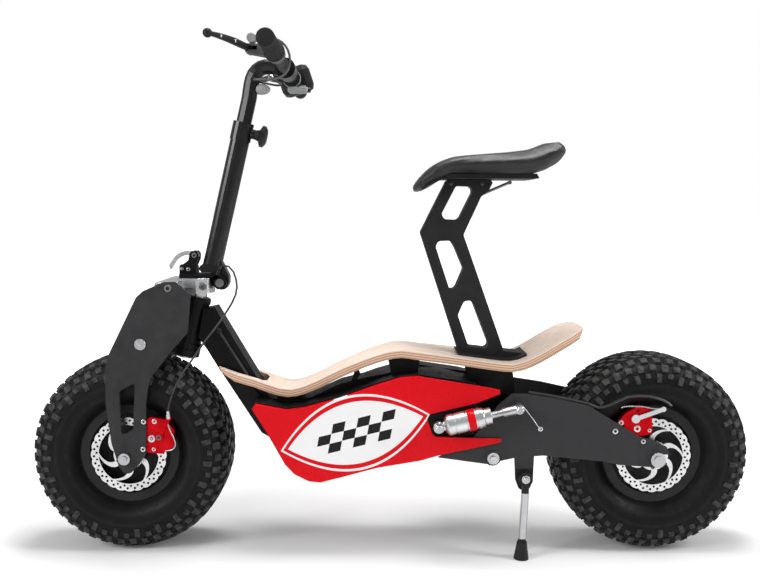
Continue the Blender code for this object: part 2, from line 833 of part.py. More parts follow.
def fork_crown_lower():
    """The lower crown under the head tube."""
    width = 2 * (PLATE_IN - FIT)
    middle = LOWER_CROWN_TOP - LOWER_CROWN_HEIGHT / 2
    low = middle - LOWER_CROWN_HEIGHT / 2
    ring = rod(on_steer(low), on_steer(LOWER_CROWN_TOP), CROWN_RING_RADIUS, sides=20)
    size = (LOWER_CROWN_DEPTH, width, LOWER_CROWN_HEIGHT)
    bar = block(size, on_steer(middle, -CROWN_RING_RADIUS), 2 * MM, tilted(), 1)
    obj = join(ring, bar)
    cut(obj, rod(on_steer(middle - 30 * MM), on_steer(middle + 30 * MM), STEERER_RADIUS + FIT, sides=20))
    return part("fork_crown_lower", obj, "frame_black")


def hinge_base():
    """The plate on the crown with the ears of the fold pivot and of the latch."""
    low = CROWN_BOTTOM + CROWN_HEIGHT + FIT
    floor = HINGE_PLATE.z
    obj = block(HINGE_PLATE, at(HINGE_PLATE_X, 0, low + floor / 2), 2 * MM, segments=1)
    high = (low + floor) / MM
    ear = mm(
        [
            (-345, high - 3), (-345, high), (-330, high + 2), (-312, 328), (-308, 317), (-312, 308),
            (-326, 304), (-333, 312), (-333, high - 3),
        ]
    )
    for side in (-1, 1):
        middle = side * (KNUCKLE_WIDTH / 2 + FIT + EAR_WIDTH / 2)
        join(obj, plate(rounded(ear, 4 * MM, 1), middle, EAR_WIDTH))
    post = mm(
        [
            (-398, high - 4), (-398, 352), (-390, 356), (-378, 376), (-364, 376), (-362, 362),
            (-366, 352), (-366, high - 4),
        ]
    )
    tower = plate(rounded(post, 4 * MM, 1), 0, LATCH_TOWER_WIDTH)
    cut(tower, block((46 * MM, LATCH_GAP, 40 * MM), at(-378 * MM, 0, (354 + 20) * MM)))
    join(obj, tower)
    pin = FOLD_PIN_RADIUS + FIT
    cut(obj, rod(at(FOLD_X, -40 * MM, FOLD_Z), at(FOLD_X, 40 * MM, FOLD_Z), pin, sides=12))
    return part("hinge_base", obj, "frame_black")


def latch_lever():
    """The curved silver lever that locks the fold."""
    arm = mm([(-382, 371.5), (-395, 370), (-407, 362), (-419, 345)])
    line = through([(LATCH_X * LONG, LATCH_Z)] + arm, 3)
    half = 3.6 * MM
    upper = [(x, z + half * 1.1) for x, z in line]
    lower = [(x + half * 0.6, z - half) for x, z in line]
    blade = plate(upper + lower[::-1], 0, LATCH_WIDTH)
    pivot = at(LATCH_X, 0, LATCH_Z)
    half_eye = Vector((0, LATCH_WIDTH / 2 + 0.4 * MM, 0))
    join(blade, rod(pivot - half_eye, pivot + half_eye, 6.5 * MM, sides=20))
    obj = part("latch_lever", blade, "silver")
    carrier("latch_axis", pivot, [obj])
    return obj


def caliper(name, axle, outer, inner, bolts):
    """A brake caliper in two halves that reach over the edge of the disc."""
    outer_face = PLATE_IN - CALIPER_INSET
    split = DISC_OFFSET + CALIPER_SPLIT
    inner_face = RIM_WIDTH / 2 + 1 * MM
    outer = [(x * MM + axle.x, z * MM) for x, z in outer]
    inner = [(x * MM + axle.x, z * MM) for x, z in inner]
    obj = plate(rounded(outer, 5 * MM, 2), -(outer_face + split) / 2, outer_face - split)
    lap = split + 2 * MM
    join(obj, plate(rounded(inner, 4 * MM, 1), -(lap + inner_face) / 2, lap - inner_face))
    start = axle + Vector((0, -DISC_OFFSET - DISC_SLOT / 2, 0))
    end = axle + Vector((0, -DISC_OFFSET + DISC_SLOT / 2, 0))
    cut(obj, rod(start, end, DISC_RADIUS + DISC_WAVE + 2 * MM, sides=32))
    for x, z in bolts:
        place = Vector((x * MM, 0, z * MM))
        face = axle + place + Vector((0, -outer_face - 1 * MM, 0))
        cut(obj, rod(face, face + Vector((0, 8 * MM, 0)), 2.6 * MM, sides=8))
    return part(name, obj, "red_anodised")


def caliper_arm(name, axle, pivot, end):
    """The arm that the brake cable pulls."""
    outer_face = PLATE_IN - CALIPER_INSET
    low = Vector((pivot[0] * MM, 0, pivot[1] * MM))
    high = Vector((end[0] * MM, 0, end[1] * MM))
    inside = Vector((0, -outer_face - FIT, 0))
    outside = inside + Vector((0, -PULL_ARM_DEPTH, 0))
    obj = rod(axle + low + inside, axle + low + outside, PULL_ARM_BOSS, sides=14)
    join(obj, rod(axle + high + inside, axle + high + outside, PULL_ARM_END, sides=12))
    middle = axle + (low + high) / 2 + (inside + outside) / 2
    way = (high - low).normalized()
    turn = Matrix.Rotation(-math.atan2(way.z, way.x), 4, "Y")
    size = ((high - low).length, PULL_ARM_DEPTH - 0.04 * MM, PULL_ARM_WIDTH)
    join(obj, block(size, middle, turn=turn))
    obj = part(name, obj, "steel")
    carrier(name + "_axis", axle + low + (inside + outside) / 2, [obj])
    return obj


def steering():
    """Everything that turns with the fork below the fold."""
    pieces = [
        fork_plate("fork_plate_left", -1),
        fork_plate("fork_plate_right", 1),
        fork_crown_upper(),
        fork_crown_lower(),
        hinge_base(),
        latch_lever(),
    ]
    low = on_steer(LOWER_CROWN_TOP - LOWER_CROWN_HEIGHT - 5 * MM)
    steerer = rod(low, on_steer(11 * MM), STEERER_RADIUS, sides=20)
    pieces.append(part("steerer_tube", steerer, "steel"))
    sizes = (AXLE_RADIUS, 10 * MM, HUB_LENGTH_RIGHT + FIT, AXLE_NUT_RADIUS, PLATE_IN + FORK_PLATE)
    pieces.append(part("front_axle", turned(axle_line(*sizes), FRONT_AXLE, 12), "steel"))
    outer = [(28, 10), (66, 6), (88, 20), (89, 50), (75, 70), (48, 75), (29, 66)]
    inner = [(30, 14), (62, 12), (76, 30), (72, 48), (54, 64), (30, 60)]
    pieces.append(caliper("front_caliper", FRONT_AXLE, outer, inner, [(46, 33), (36, 67), (34, 16)]))
    pieces.append(caliper_arm("front_caliper_arm", FRONT_AXLE, (62, 38), (80, 74)))
    pin = rod(at(FOLD_X, -26 * MM, FOLD_Z), at(FOLD_X, 26 * MM, FOLD_Z), FOLD_PIN_RADIUS, sides=12)
    for side in (-1, 1):
        near = at(FOLD_X, side * (KNUCKLE_WIDTH / 2 + EAR_WIDTH + 2 * FIT), FOLD_Z)
        join(pin, rod(near, near + Vector((0, side * 4 * MM, 0)), 8 * MM, sides=12))
    pieces.append(part("fold_pin", pin, "steel"))
    movers = [piece.parent or piece for piece in pieces]
    carrier("steering_axis", on_steer(0), movers)
    for name, bottom in (("upper", HEAD_TOP - HEADSET_HEIGHT), ("lower", HEAD_BOTTOM - HEADSET_HEIGHT)):
        low = bottom + FIT
        high = bottom + HEADSET_HEIGHT - FIT
        profile = [
            (HEAD_RADIUS + 1.5 * MM, (high - low) / 2 - 2 * MM),
            (HEAD_RADIUS + 1.5 * MM, (low - high) / 2),
            (STEERER_RADIUS + FIT, (low - high) / 2),
            (STEERER_RADIUS + FIT, (high - low) / 2),
            (HEAD_RADIUS - 1 * MM, (high - low) / 2),
        ]
        cup = turned(profile, on_steer((low + high) / 2), 20, STEER_UP)
        part("headset_cup_" + name, cup, "frame_black")


# Stem and handlebar
def stem_lower_tube():
    """The lower stem with its foot, its fold knuckle and the clamp for the upper tube."""
    foot = at(STEM_FOOT_X, 0, STEM_FOOT_Z)
    top = foot + STEM_LENGTH * STEER_UP
    obj = rod(foot, top, STEM_RADIUS, sides=20)
    join(obj, rod(top - COLLAR_HEIGHT * STEER_UP, top, COLLAR_RADIUS, sides=20))
    boss = top - COLLAR_HEIGHT / 2 * STEER_UP
    join(obj, rod(boss, boss + (COLLAR_RADIUS + BOSS_HEIGHT) * STEM_BACK, BOSS_RADIUS, sides=12))
    base = mm(
        [
            (-362, 336), (-362, 347), (-354, 352), (-352, 366), (-324, 364), (-316, 350), (-306, 330),
            (-306, 315), (-312, 304), (-322, 303), (-334, 309), (-334, 330), (-340, 336),
        ]
    )
    join(obj, plate(rounded(base, 5 * MM, 1), 0, KNUCKLE_WIDTH))
    bore_end = top + 5 * MM * STEER_UP
    cut(obj, rod(top - STEM_BORE * STEER_UP, bore_end, UPPER_RADIUS + 2 * FIT, sides=20))
    pin = FOLD_PIN_RADIUS + FIT
    cut(obj, rod(at(FOLD_X, -40 * MM, FOLD_Z), at(FOLD_X, 40 * MM, FOLD_Z), pin, sides=12))
    start = boss + (UPPER_RADIUS - 3 * MM) * STEM_BACK
    cut(obj, rod(start, boss + 40 * MM * STEM_BACK, KNOB_SHAFT / 2 + FIT, sides=8))
    return part("stem_lower_tube", obj, "frame_black")


def clamp_knob():
    """The black knob that locks the handlebar's height."""
    top = at(STEM_FOOT_X, 0, STEM_FOOT_Z) + STEM_LENGTH * STEER_UP
    boss = top - COLLAR_HEIGHT / 2 * STEER_UP
    face = COLLAR_RADIUS + BOSS_HEIGHT + FIT
    depth = UPPER_RADIUS + 2 * FIT
    profile = [
        (0, face + KNOB_HEIGHT),
        (KNOB_RADIUS - 6 * MM, face + KNOB_HEIGHT),
        (KNOB_RADIUS, face + KNOB_HEIGHT - 4 * MM),
        (KNOB_RADIUS, face + KNOB_HEIGHT - 4 * MM - KNOB_RIM),
        (KNOB_NECK + 2 * MM, face + KNOB_HEIGHT - 8 * MM - KNOB_RIM),
        (KNOB_NECK, face + 4 * MM),
        (KNOB_NECK, face),
        (KNOB_SHAFT / 2, face),
        (KNOB_SHAFT / 2, depth),
        (0, depth),
    ]
    knob = part("clamp_knob", turned(profile, boss, 16, STEM_BACK), "black_plastic")
    carrier("knob_axis", boss + face * STEM_BACK, [knob])
    return knob


def stem_upper_tube():
    """The upper tube whose neck curves back to the bar clamp."""
    top = at(STEM_FOOT_X, 0, STEM_FOOT_Z) + STEM_LENGTH * STEER_UP
    start = top - UPPER_OVERLAP * STEER_UP
    bend = top + 47 * MM * STEER_UP
    turns = [bend, at(-262 * MM, 0, 685 * MM), at(-256 * MM, 0, 703 * MM), at(-243 * MM, 0, 715 * MM)]
    turns += [at(-225 * MM, 0, 717 * MM), at(BAR_X, 0, BAR_Z)]
    line = [start] + through(turns, 2)
    obj = tube(line, UPPER_RADIUS, 3)
    join(obj, rod(on_bar(-CLAMP_HALF), on_bar(CLAMP_HALF), CLAMP_RADIUS, sides=20))
    cut(obj, rod(on_bar(-2 * CLAMP_HALF), on_bar(2 * CLAMP_HALF), BAR_RADIUS + FIT, sides=20))
    return part("stem_upper_tube", obj, "frame_black")


def on_bar(y, back=0.0, up=0.0):
    """A point on the handlebar's line, or behind or above it."""
    return at(BAR_X, y, BAR_Z) + Vector((back, 0, up))


def grip(side):
    """A grip with a flange at its inner end, closed over the bar's end."""
    bore = BAR_RADIUS + FIT
    half = GRIP_LENGTH / 2
    profile = [
        (0, half),
        (GRIP_RADIUS - 3 * MM, half),
        (GRIP_RADIUS, half - 3 * MM),
        (GRIP_RADIUS, -half + 5 * MM),
        (GRIP_FLANGE, -half + 4 * MM),
        (GRIP_FLANGE, -half),
        (bore, -half),
        (bore, half - 4 * MM),
        (0, half - 4 * MM),
    ]
    return turned(profile, on_bar(side * (GRIP_INNER + half)), 16, (0, side, 0))


def lever_perch(name, side, middle):
    """The clamp of a brake lever on the bar."""
    half = PERCH_WIDTH / 2
    obj = rod(on_bar(side * middle - half), on_bar(side * middle + half), PERCH_RADIUS, sides=16)
    pivot = on_bar(side * middle, -LEVER_PIVOT_REACH, LEVER_PIVOT_RISE)
    tip = -LEVER_PIVOT_REACH / MM - 9
    arm = mm([(-12, -7), (tip, 0), (tip, 14), (-10, 13)])
    arm = [(BAR_X * LONG + x, BAR_Z + z) for x, z in arm]
    join(obj, plate(rounded(arm, 3 * MM, 2), side * middle, PERCH_WIDTH))
    bore = 2 * PERCH_WIDTH
    cut(obj, rod(on_bar(side * middle - bore), on_bar(side * middle + bore), BAR_RADIUS + FIT, sides=16))
    gap = Vector((-4 * MM, side * 5 * MM, 0))
    cut(obj, block((30 * MM, 30 * MM, LEVER_EYE_HEIGHT + 2 * FIT), pivot + gap))
    return part(name, obj, "powder_grey"), pivot


def brake_lever(name, side, pivot, length):
    """A ball-ended brake lever that swings about its perch."""
    out = Vector((-math.sin(LEVER_SPLAY), side * math.cos(LEVER_SPLAY), 0))
    rise = Vector((0, 0, LEVER_RISE))
    half_eye = Vector((0, 0, LEVER_EYE_HEIGHT / 2))
    start = pivot + 2 * MM * out
    bow = Vector((3 * MM, 0, 0))
    line = [
        start,
        pivot + 17 * MM * out + 0.2 * rise,
        pivot + 0.5 * length * out + 0.7 * rise + bow,
        pivot + 0.8 * length * out + rise + 0.7 * bow,
        pivot + length * out + rise,
    ]
    eye = rod(pivot - half_eye, pivot + half_eye, LEVER_EYE, sides=12)
    blade = tube(through(line[1:], 2), LEVER_RADIUS, 1)
    root = rod(start, line[1] + 6 * MM * out, LEVER_ROOT, sides=8)
    join(eye, root, blade, ball(line[-1], LEVER_BALL, sides=10, rings=6))
    obj = part(name, eye, "powder_grey")
    carrier(name + "_axis", pivot, [obj])
    return obj


def throttle_housing():
    """The control housing beside the right grip."""
    middle = (HOUSING_IN + HOUSING_OUT) / 2
    centre = on_bar(middle, 3 * MM, 4 * MM)
    turn = Matrix.Rotation(HOUSING_TURN, 4, "Y")
    size = (HOUSING_DEPTH, HOUSING_OUT - HOUSING_IN, HOUSING_HEIGHT)
    obj = block(size, centre, HOUSING_EDGE, turn, 2)
    cut(obj, rod(on_bar(HOUSING_IN - 20 * MM), on_bar(HOUSING_OUT + 20 * MM), BAR_RADIUS + FIT, sides=20))
    return part("throttle_housing", obj, "black_plastic")


def handlebar():
    """The bar with its grips, levers, housing and pods, and what moves on them."""
    bar = part("handlebar", rod(on_bar(-BAR_HALF), on_bar(BAR_HALF), BAR_RADIUS, sides=20), "frame_black")
    left = part("grip_left", grip(-1), "rubber")
    right = part("throttle_grip", grip(1), "rubber")
    carrier("throttle_axis", on_bar(GRIP_INNER), [right])
    perch_left, pivot_left = lever_perch("lever_perch_left", -1, PERCH_LEFT)
    perch_right, pivot_right = lever_perch("lever_perch_right", 1, PERCH_RIGHT)
    lever_left = brake_lever("brake_lever_left", -1, pivot_left, LEVER_LENGTH)
    lever_right = brake_lever("brake_lever_right", 1, pivot_right, LEVER_LENGTH_RIGHT)
    ignition = ball(at(-243 * MM, 0, 676 * MM), 10 * MM, (1.7, 1.3, 1.0), 12, 8)
    cut(ignition, rod(at(-300 * MM, 0, 540 * MM), at(-258 * MM, 0, 704 * MM), 16 * MM))
    cut(ignition, rod(at(-267 * MM, 0, 660 * MM), at(-255 * MM, 0, 708 * MM), 15 * MM))
    ignition = part("ignition_pod", ignition, "grey_plastic")
    half_horn = HORN_WIDTH / 2
    horn = rod(on_bar(HORN_Y - half_horn), on_bar(HORN_Y + half_horn), HORN_RADIUS, sides=16)
    boss = on_bar(HORN_Y, 12 * MM, -21 * MM)
    join(horn, block((40 * MM, HORN_WIDTH - 0.1 * MM, 15 * MM), boss, 4 * MM, segments=1))
    cut(horn, rod(on_bar(HORN_Y - 30 * MM), on_bar(HORN_Y + 30 * MM), BAR_RADIUS + FIT, sides=16))
    seat = on_bar(HORN_Y, 22 * MM, -22 * MM)
    cut(horn, rod(seat, seat + Vector((24 * MM, 0, 0)), BUTTON_RADIUS + FIT, sides=12))
    horn = part("horn_pod", horn, "grey_plastic")
    press = Vector((BUTTON_TRAVEL + FIT, 0, 0))
    cap = rod(seat + press, seat + press + Vector((12 * MM, 0, 0)), BUTTON_RADIUS, sides=12)
    button = part("horn_button", cap, "red_gloss")
    carrier("horn_axis", seat + press, [button])
    upper = stem_upper_tube()
    pieces = [upper, bar, left, right.parent, perch_left, perch_right, lever_left.parent, lever_right.parent]
    pieces += [ignition, horn, button.parent, throttle_housing()]
    riser = carrier("riser_axis", at(STEM_FOOT_X, 0, STEM_FOOT_Z) + STEM_LENGTH * STEER_UP, pieces)
    stem = stem_lower_tube()
    knob = clamp_knob()
    carrier("fold_axis", at(FOLD_X, 0, FOLD_Z), [stem, knob.parent, riser])


# Deck profile, shared with its supports and the seat post's foot
def deck_lines():
    """The top and bottom lines of the deck in the side view."""
    top = through(mm(DECK_TOP), 2)
    low = []
    for index, point in enumerate(top):
        before = top[max(index - 1, 0)]
        after = top[min(index + 1, len(top) - 1)]
        way = (after - before).normalized()
        thin = min(1.0, 0.35 + 0.65 * min(index, len(top) - 1 - index) / 2)
        low.append(point + Vector((way.y, -way.x)) * DECK_THICKNESS * thin)
    return [tuple(p) for p in top], [tuple(p) for p in low]


def follow(line, first, last, lift):
    """Points just off a line between two drawn places."""
    first *= LONG
    last *= LONG
    places = [first] + [x for x, z in line if first < x < last] + [last]
    return [(x, height_on(line, x) + lift) for x in places]


def deck_board():
    """The curved plywood board, cut to its plan and notched for the down tube."""
    top, low = deck_lines()
    board = plate(top + low[::-1], 0, 220 * MM)
    plan = mm(DECK_PLAN)
    right = [(x, y) for x, y in plan]
    left = [(x, -y) for x, y in reversed(plan)]
    half = DECK_NOTCH / MM
    notch = mm([(-345, half), (-241, half), (-234, half - 12)])
    notch += [(x, -y) for x, y in reversed(notch)]
    height = Matrix.Translation(at(0, 0, 170 * MM))
    keep(board, prism([right + left], 400 * MM, height))
    cut(board, prism([notch], 420 * MM, height))
    return part("deck_board", board, "wood")


# Frame and body
def main_frame():
    """Head tube, down tube, spine, rear post, cross tubes and deck supports."""
    low = deck_lines()[1]
    head = rod(on_steer(HEAD_BOTTOM), on_steer(HEAD_TOP - HEADSET_HEIGHT), HEAD_RADIUS, sides=20)
    down = mm(
        [
            (-352, 268), (-331, 272), (-319, 251), (-267, 163), (-243, 122), (-225, 96), (-215, 60),
            (-226, 22), (-245, 33), (-327, 160), (-345, 190), (-362, 215),
        ]
    )
    join(head, plate(down, 0, DOWN_TUBE_WIDTH))
    spine = mm(SPINE_TOP)
    depth = SPINE_DEPTH
    join(head, plate(spine + [(x, z - depth) for x, z in reversed(spine)], 0, SPINE_WIDTH))
    rear = mm(
        [(96, 142), (167, 124), (226, 108), (222, 60), (205, -12), (186, -16), (170, -12), (72, 44), (70, 84)]
    )
    join(head, plate(rear, 0, REAR_POST_WIDTH))
    reach = PLATE_IN - FIT
    join(head, rod(at(PIVOT_X, -reach, PIVOT_Z), at(PIVOT_X, reach, PIVOT_Z), PIVOT_TUBE_RADIUS, sides=18))
    far = BODY_HALF - FIT
    inside = far - 2 * MM
    mount = [at(SHOCK_FRONT_X, side * inside, SHOCK_FRONT_Z) for side in (-1, 1)]
    join(head, rod(*mount, MOUNT_TUBE_RADIUS, sides=14))
    for side in (-1, 1):
        thick = far - BODY_INNER - FIT
        centre = at(77 * MM, side * (far - thick / 2), 64 * MM)
        join(head, block((36 * MM, thick, 42 * MM), centre, 2 * MM, segments=1))
        pin = at(SHOCK_FRONT_X, side * (far - 4 * MM), SHOCK_FRONT_Z)
        pin_end = at(SHOCK_FRONT_X, side * (SHOCK_Y + 11 * MM), SHOCK_FRONT_Z)
        join(head, rod(pin, pin_end, SHOCK_BOLT, sides=12))
        spacer = at(SHOCK_FRONT_X, side * (SHOCK_Y - 7.5 * MM), SHOCK_FRONT_Z)
        join(head, rod(pin, spacer, SPACER_RADIUS, sides=14))
    front = follow(low, -7 * MM, 53 * MM, -FIT) + mm([(48, 140), (2, 140)])
    back = follow(low, 141 * MM, 226 * MM, -FIT) + mm([(231, 118), (228, 108), (150, 122)])
    trough = follow(low, -216 * MM, -166 * MM, -FIT) + mm([(-170, 92), (-212, 92)])
    for line in (front, back, trough):
        join(head, plate(line, 0, SUPPORT_WIDTH if line is not trough else SPINE_WIDTH - 4 * MM))
    hook = mm([(-74, 126), (-75, 134), (-69, 152), (-61, 154), (-58, 146), (-64, 138), (-60, 130)])
    join(head, plate(hook, -SPINE_WIDTH / 2 + 5 * MM, 8 * MM))
    bore = [on_steer(HEAD_BOTTOM - 40 * MM), on_steer(HEAD_TOP + 40 * MM)]
    cut(head, rod(*bore, STEERER_RADIUS + 1 * MM, sides=16))
    pivot = PIVOT_RADIUS + FIT
    cut(head, rod(at(PIVOT_X, -120 * MM, PIVOT_Z), at(PIVOT_X, 120 * MM, PIVOT_Z), pivot, sides=20))
    return part("main_frame", head, "frame_black")


def swing_pivot_shaft():
    """The shaft through the frame that carries the swing arm."""
    outside = ARM_OUT + FIT
    ends = [at(PIVOT_X, side * (outside + 3 * MM), PIVOT_Z) for side in (-1, 1)]
    shaft = rod(*ends, PIVOT_RADIUS, sides=16)
    for side in (-1, 1):
        near = at(PIVOT_X, side * outside, PIVOT_Z)
        far = near + Vector((0, side * PIVOT_NUT_HEIGHT, 0))
        join(shaft, rod(near, far, PIVOT_NUT_RADIUS, PIVOT_NUT_RADIUS - 2 * MM, sides=16))
    return part("swing_pivot_shaft", shaft, "steel")


def body_shell():
    """The hollow black body that hangs under the spine."""
    shell = soften(plate(rounded(mm(BODY_LINE), 8 * MM, 1), 0, 2 * BODY_INNER), 4 * MM, 1, 50)
    spine = mm(SPINE_TOP)
    under = [(x, z - SPINE_DEPTH - FIT) for x, z in spine]
    channel = plate([(x, z + 60 * MM) for x, z in spine] + under[::-1], 0, SPINE_WIDTH + 2 * FIT)
    hollow = plate(mm(HOLLOW_LINE), 0, 2 * (BODY_INNER - BODY_WALL))
    slot = mm([(-170, 60), (-165, 99), (-110, 130), (-30, 150), (60, 160), (60, 60)])
    slot = plate(slot, 0, SPINE_WIDTH - 8 * MM)
    rear = mm([(69, 180), (240, 130), (235, 60), (215, -30), (165, -30), (66, 38)])
    post = plate(rear, 0, REAR_POST_WIDTH + 2 * FIT)
    down = mm([(-300, 60), (-300, 170), (-233, 125), (-222, 100), (-211, 62), (-222, 14), (-250, 20)])
    tube_room = plate(down, 0, DOWN_TUBE_WIDTH + 2 * FIT)
    ends = [at(SHOCK_FRONT_X, side * TYRE_WIDTH, SHOCK_FRONT_Z) for side in (-1, 1)]
    mount = rod(*ends, MOUNT_TUBE_RADIUS + 2 * FIT, sides=14)
    width = SUPPORT_WIDTH + 2 * FIT
    front = plate(mm([(-9, 138), (55, 138), (55, 200), (-9, 200)]), 0, width)
    back = plate(mm([(138, 107), (234, 107), (234, 200), (138, 200)]), 0, width)
    cut(shell, channel, hollow, slot, post, tube_room, mount, front, back)
    return part("body_shell", shell, "frame_black")


def side_panel(name, side):
    """A red side panel with two prongs that pass outside the swing arm."""
    thickness = BODY_HALF + PANEL_THICKNESS - BODY_INNER - FIT
    middle = side * (BODY_INNER + FIT + thickness / 2)
    panel = plate(rounded(mm(PANEL_LINE), 7 * MM, 1), middle, thickness)
    depth = BODY_HALF - BODY_INNER
    room = at(166 * MM, side * (BODY_INNER + depth / 2 - 1 * MM), 90 * MM)
    cut(panel, block((232 * MM * LONG, depth + 2 * MM, 240 * MM), room))
    return part(name, soften(panel, 2.2 * MM, 1, 40), "red_gloss")


def on_floor(place, slope, offset):
    """A point above the body's sloping floor, measured from a place on it."""
    turn = Matrix.Rotation(-slope, 4, "Y")
    return at(place[0] * MM, 0, place[1] * MM) + turn @ (Vector(offset) + Vector((0, 0, FIT))), turn


def battery_pack():
    """The battery, which rests on the body's floor."""
    size = BATTERY_SIZE
    centre, turn = on_floor(BATTERY_PLACE, BATTERY_SLOPE, (size.x / 2, 0, size.z / 2))
    return part("battery_pack", block(size, centre, 3 * MM, turn), "blue_wrap")


def motor_controller():
    """The finned controller behind the battery."""
    size = CONTROLLER_SIZE
    centre, turn = on_floor(CONTROLLER_PLACE, CONTROLLER_SLOPE, (size.x / 2, 0, size.z / 2))
    box = block(size, centre, turn=turn)
    pitch = size.y / (CONTROLLER_GROOVES + 1)
    for step in range(CONTROLLER_GROOVES):
        across = (step - (CONTROLLER_GROOVES - 1) / 2) * pitch
        groove = on_floor(CONTROLLER_PLACE, CONTROLLER_SLOPE, (size.x / 2, across, size.z))[0]
        cut(box, block((2 * size.x, GROOVE_WIDTH, 2 * GROOVE_WIDTH), groove, turn=turn))
    return part("motor_controller", box, "silver")


# Seat
def seat_post():
    """The boxed post with its three windows and the foot on the deck."""
    outline = mm(
        [
            (102, 510.5), (53, 412), (130, 178), (209, 168), (211, 194), (134, 408), (166, 479), (180, 490),
            (190, 510.5),
        ]
    )
    windows = [
        mm([(119, 499), (147, 498), (150, 488), (127, 441), (122, 436), (98, 437), (92, 446)]),
        mm([(87, 396), (110, 397), (118, 384), (135, 344), (121, 310), (114, 304), (108, 308), (82, 386)]),
        mm([(136, 283), (150, 285), (155, 276), (184, 201), (180, 193), (146, 197), (125, 257)]),
    ]
    windows = [rounded(window, 5 * MM, 1) for window in windows]
    post = plate(rounded(outline, 4 * MM, 1), 0, POST_WIDTH, windows)
    top = deck_lines()[0]
    under = follow(top, 124 * MM, 252 * MM, FIT)
    foot = under + [(x, z + POST_FOOT) for x, z in reversed(under)]
    join(post, plate(foot, 0, POST_FOOT_WIDTH))
    wedge = follow(top, 196 * MM, 246 * MM, FIT + 1 * MM) + mm([(246, 186), (205, 190)])
    join(post, plate(wedge, 0, POST_WIDTH + 8 * MM))
    tidy = follow(top, 110 * MM, 262 * MM, FIT) + mm([(262, 120), (110, 120)])
    cut(post, plate(tidy, 0, 120 * MM))
    return part("seat_post", post, "frame_black")


def seat():
    """The seat pan, its cushion and the stay."""
    pan_line = mm([(94, 511), (100, 520), (262, 520.5), (267, 512), (258, 511)])
    pan = soften(plate(pan_line, 0, SEAT_PAN_WIDTH), 1.5 * MM)
    pan = part("seat_base", pan, "black_plastic")
    stay = tube([at(160 * MM, 24 * MM, 479 * MM), at(223 * MM, 24 * MM, 506 * MM)], 3 * MM, 1)
    for x, z, near, radius in ((160, 479, 18.4, 5), (225, 506.5, 20, 3.6)):
        eye = rod(at(x * MM, near * MM, z * MM), at(x * MM, 28 * MM, z * MM), radius * MM, sides=12)
        join(stay, eye)
    part("seat_stay", stay, "steel")
    mesh = bpy.data.meshes.new("cushion")
    made = bmesh.new()
    bmesh.ops.create_cube(made, size=2)
    bmesh.ops.subdivide_edges(made, edges=made.edges, cuts=7, use_grid_fill=True)
    top = through(mm(SEAT_TOP), 3)
    low = through(mm(SEAT_LOW), 3)
    for vert in made.verts:
        u, v, w = vert.co
        round_v = v * math.sqrt(1 - 0.42 * w * w)
        round_w = w * math.sqrt(1 - 0.42 * v * v)
        end = 1 - 0.10 * (abs(v) ** 3) * (u * u) - 0.05 * (w * w) * (u * u)
        x = (SEAT_MIDDLE + SEAT_HALF * u * end) * LONG
        share = u * end
        widening = 1 - max(0.0, (1 - share) / 2) ** 2.2
        width = SEAT_NOSE_HALF + (SEAT_TAIL_HALF - SEAT_NOSE_HALF) * widening
        width *= 1 - 0.16 * abs(share) ** 6
        upper = height_on(top, min(max(x, top[0].x), top[-1].x))
        lower = height_on(low, min(max(x, low[0].x), low[-1].x))
        crown = 1 - 0.13 * abs(v) ** 2.4 if w > 0 else 1
        middle = (upper + lower) / 2
        half = (upper - lower) / 2
        drawn = 1 - 0.10 * max(0.0, -w)
        height = middle + half * round_w / math.sqrt(1 - 0.42 * v * v) * crown
        vert.co = (x, round_v * width * drawn, height)
    bmesh.ops.recalc_face_normals(made, faces=made.faces)
    for face in made.faces:
        face.smooth = True
    made.to_mesh(mesh)
    made.free()
    cushion = shape(mesh, Matrix.Translation(DATUM))
    room = mm([(94, 400), (94, 510.7), (99, 521), (263, 521), (268, 512), (268, 400)])
    cut(cushion, plate(room, 0, SEAT_PAN_WIDTH + 1 * MM))
    return part("seat_cushion", cushion, "vinyl")


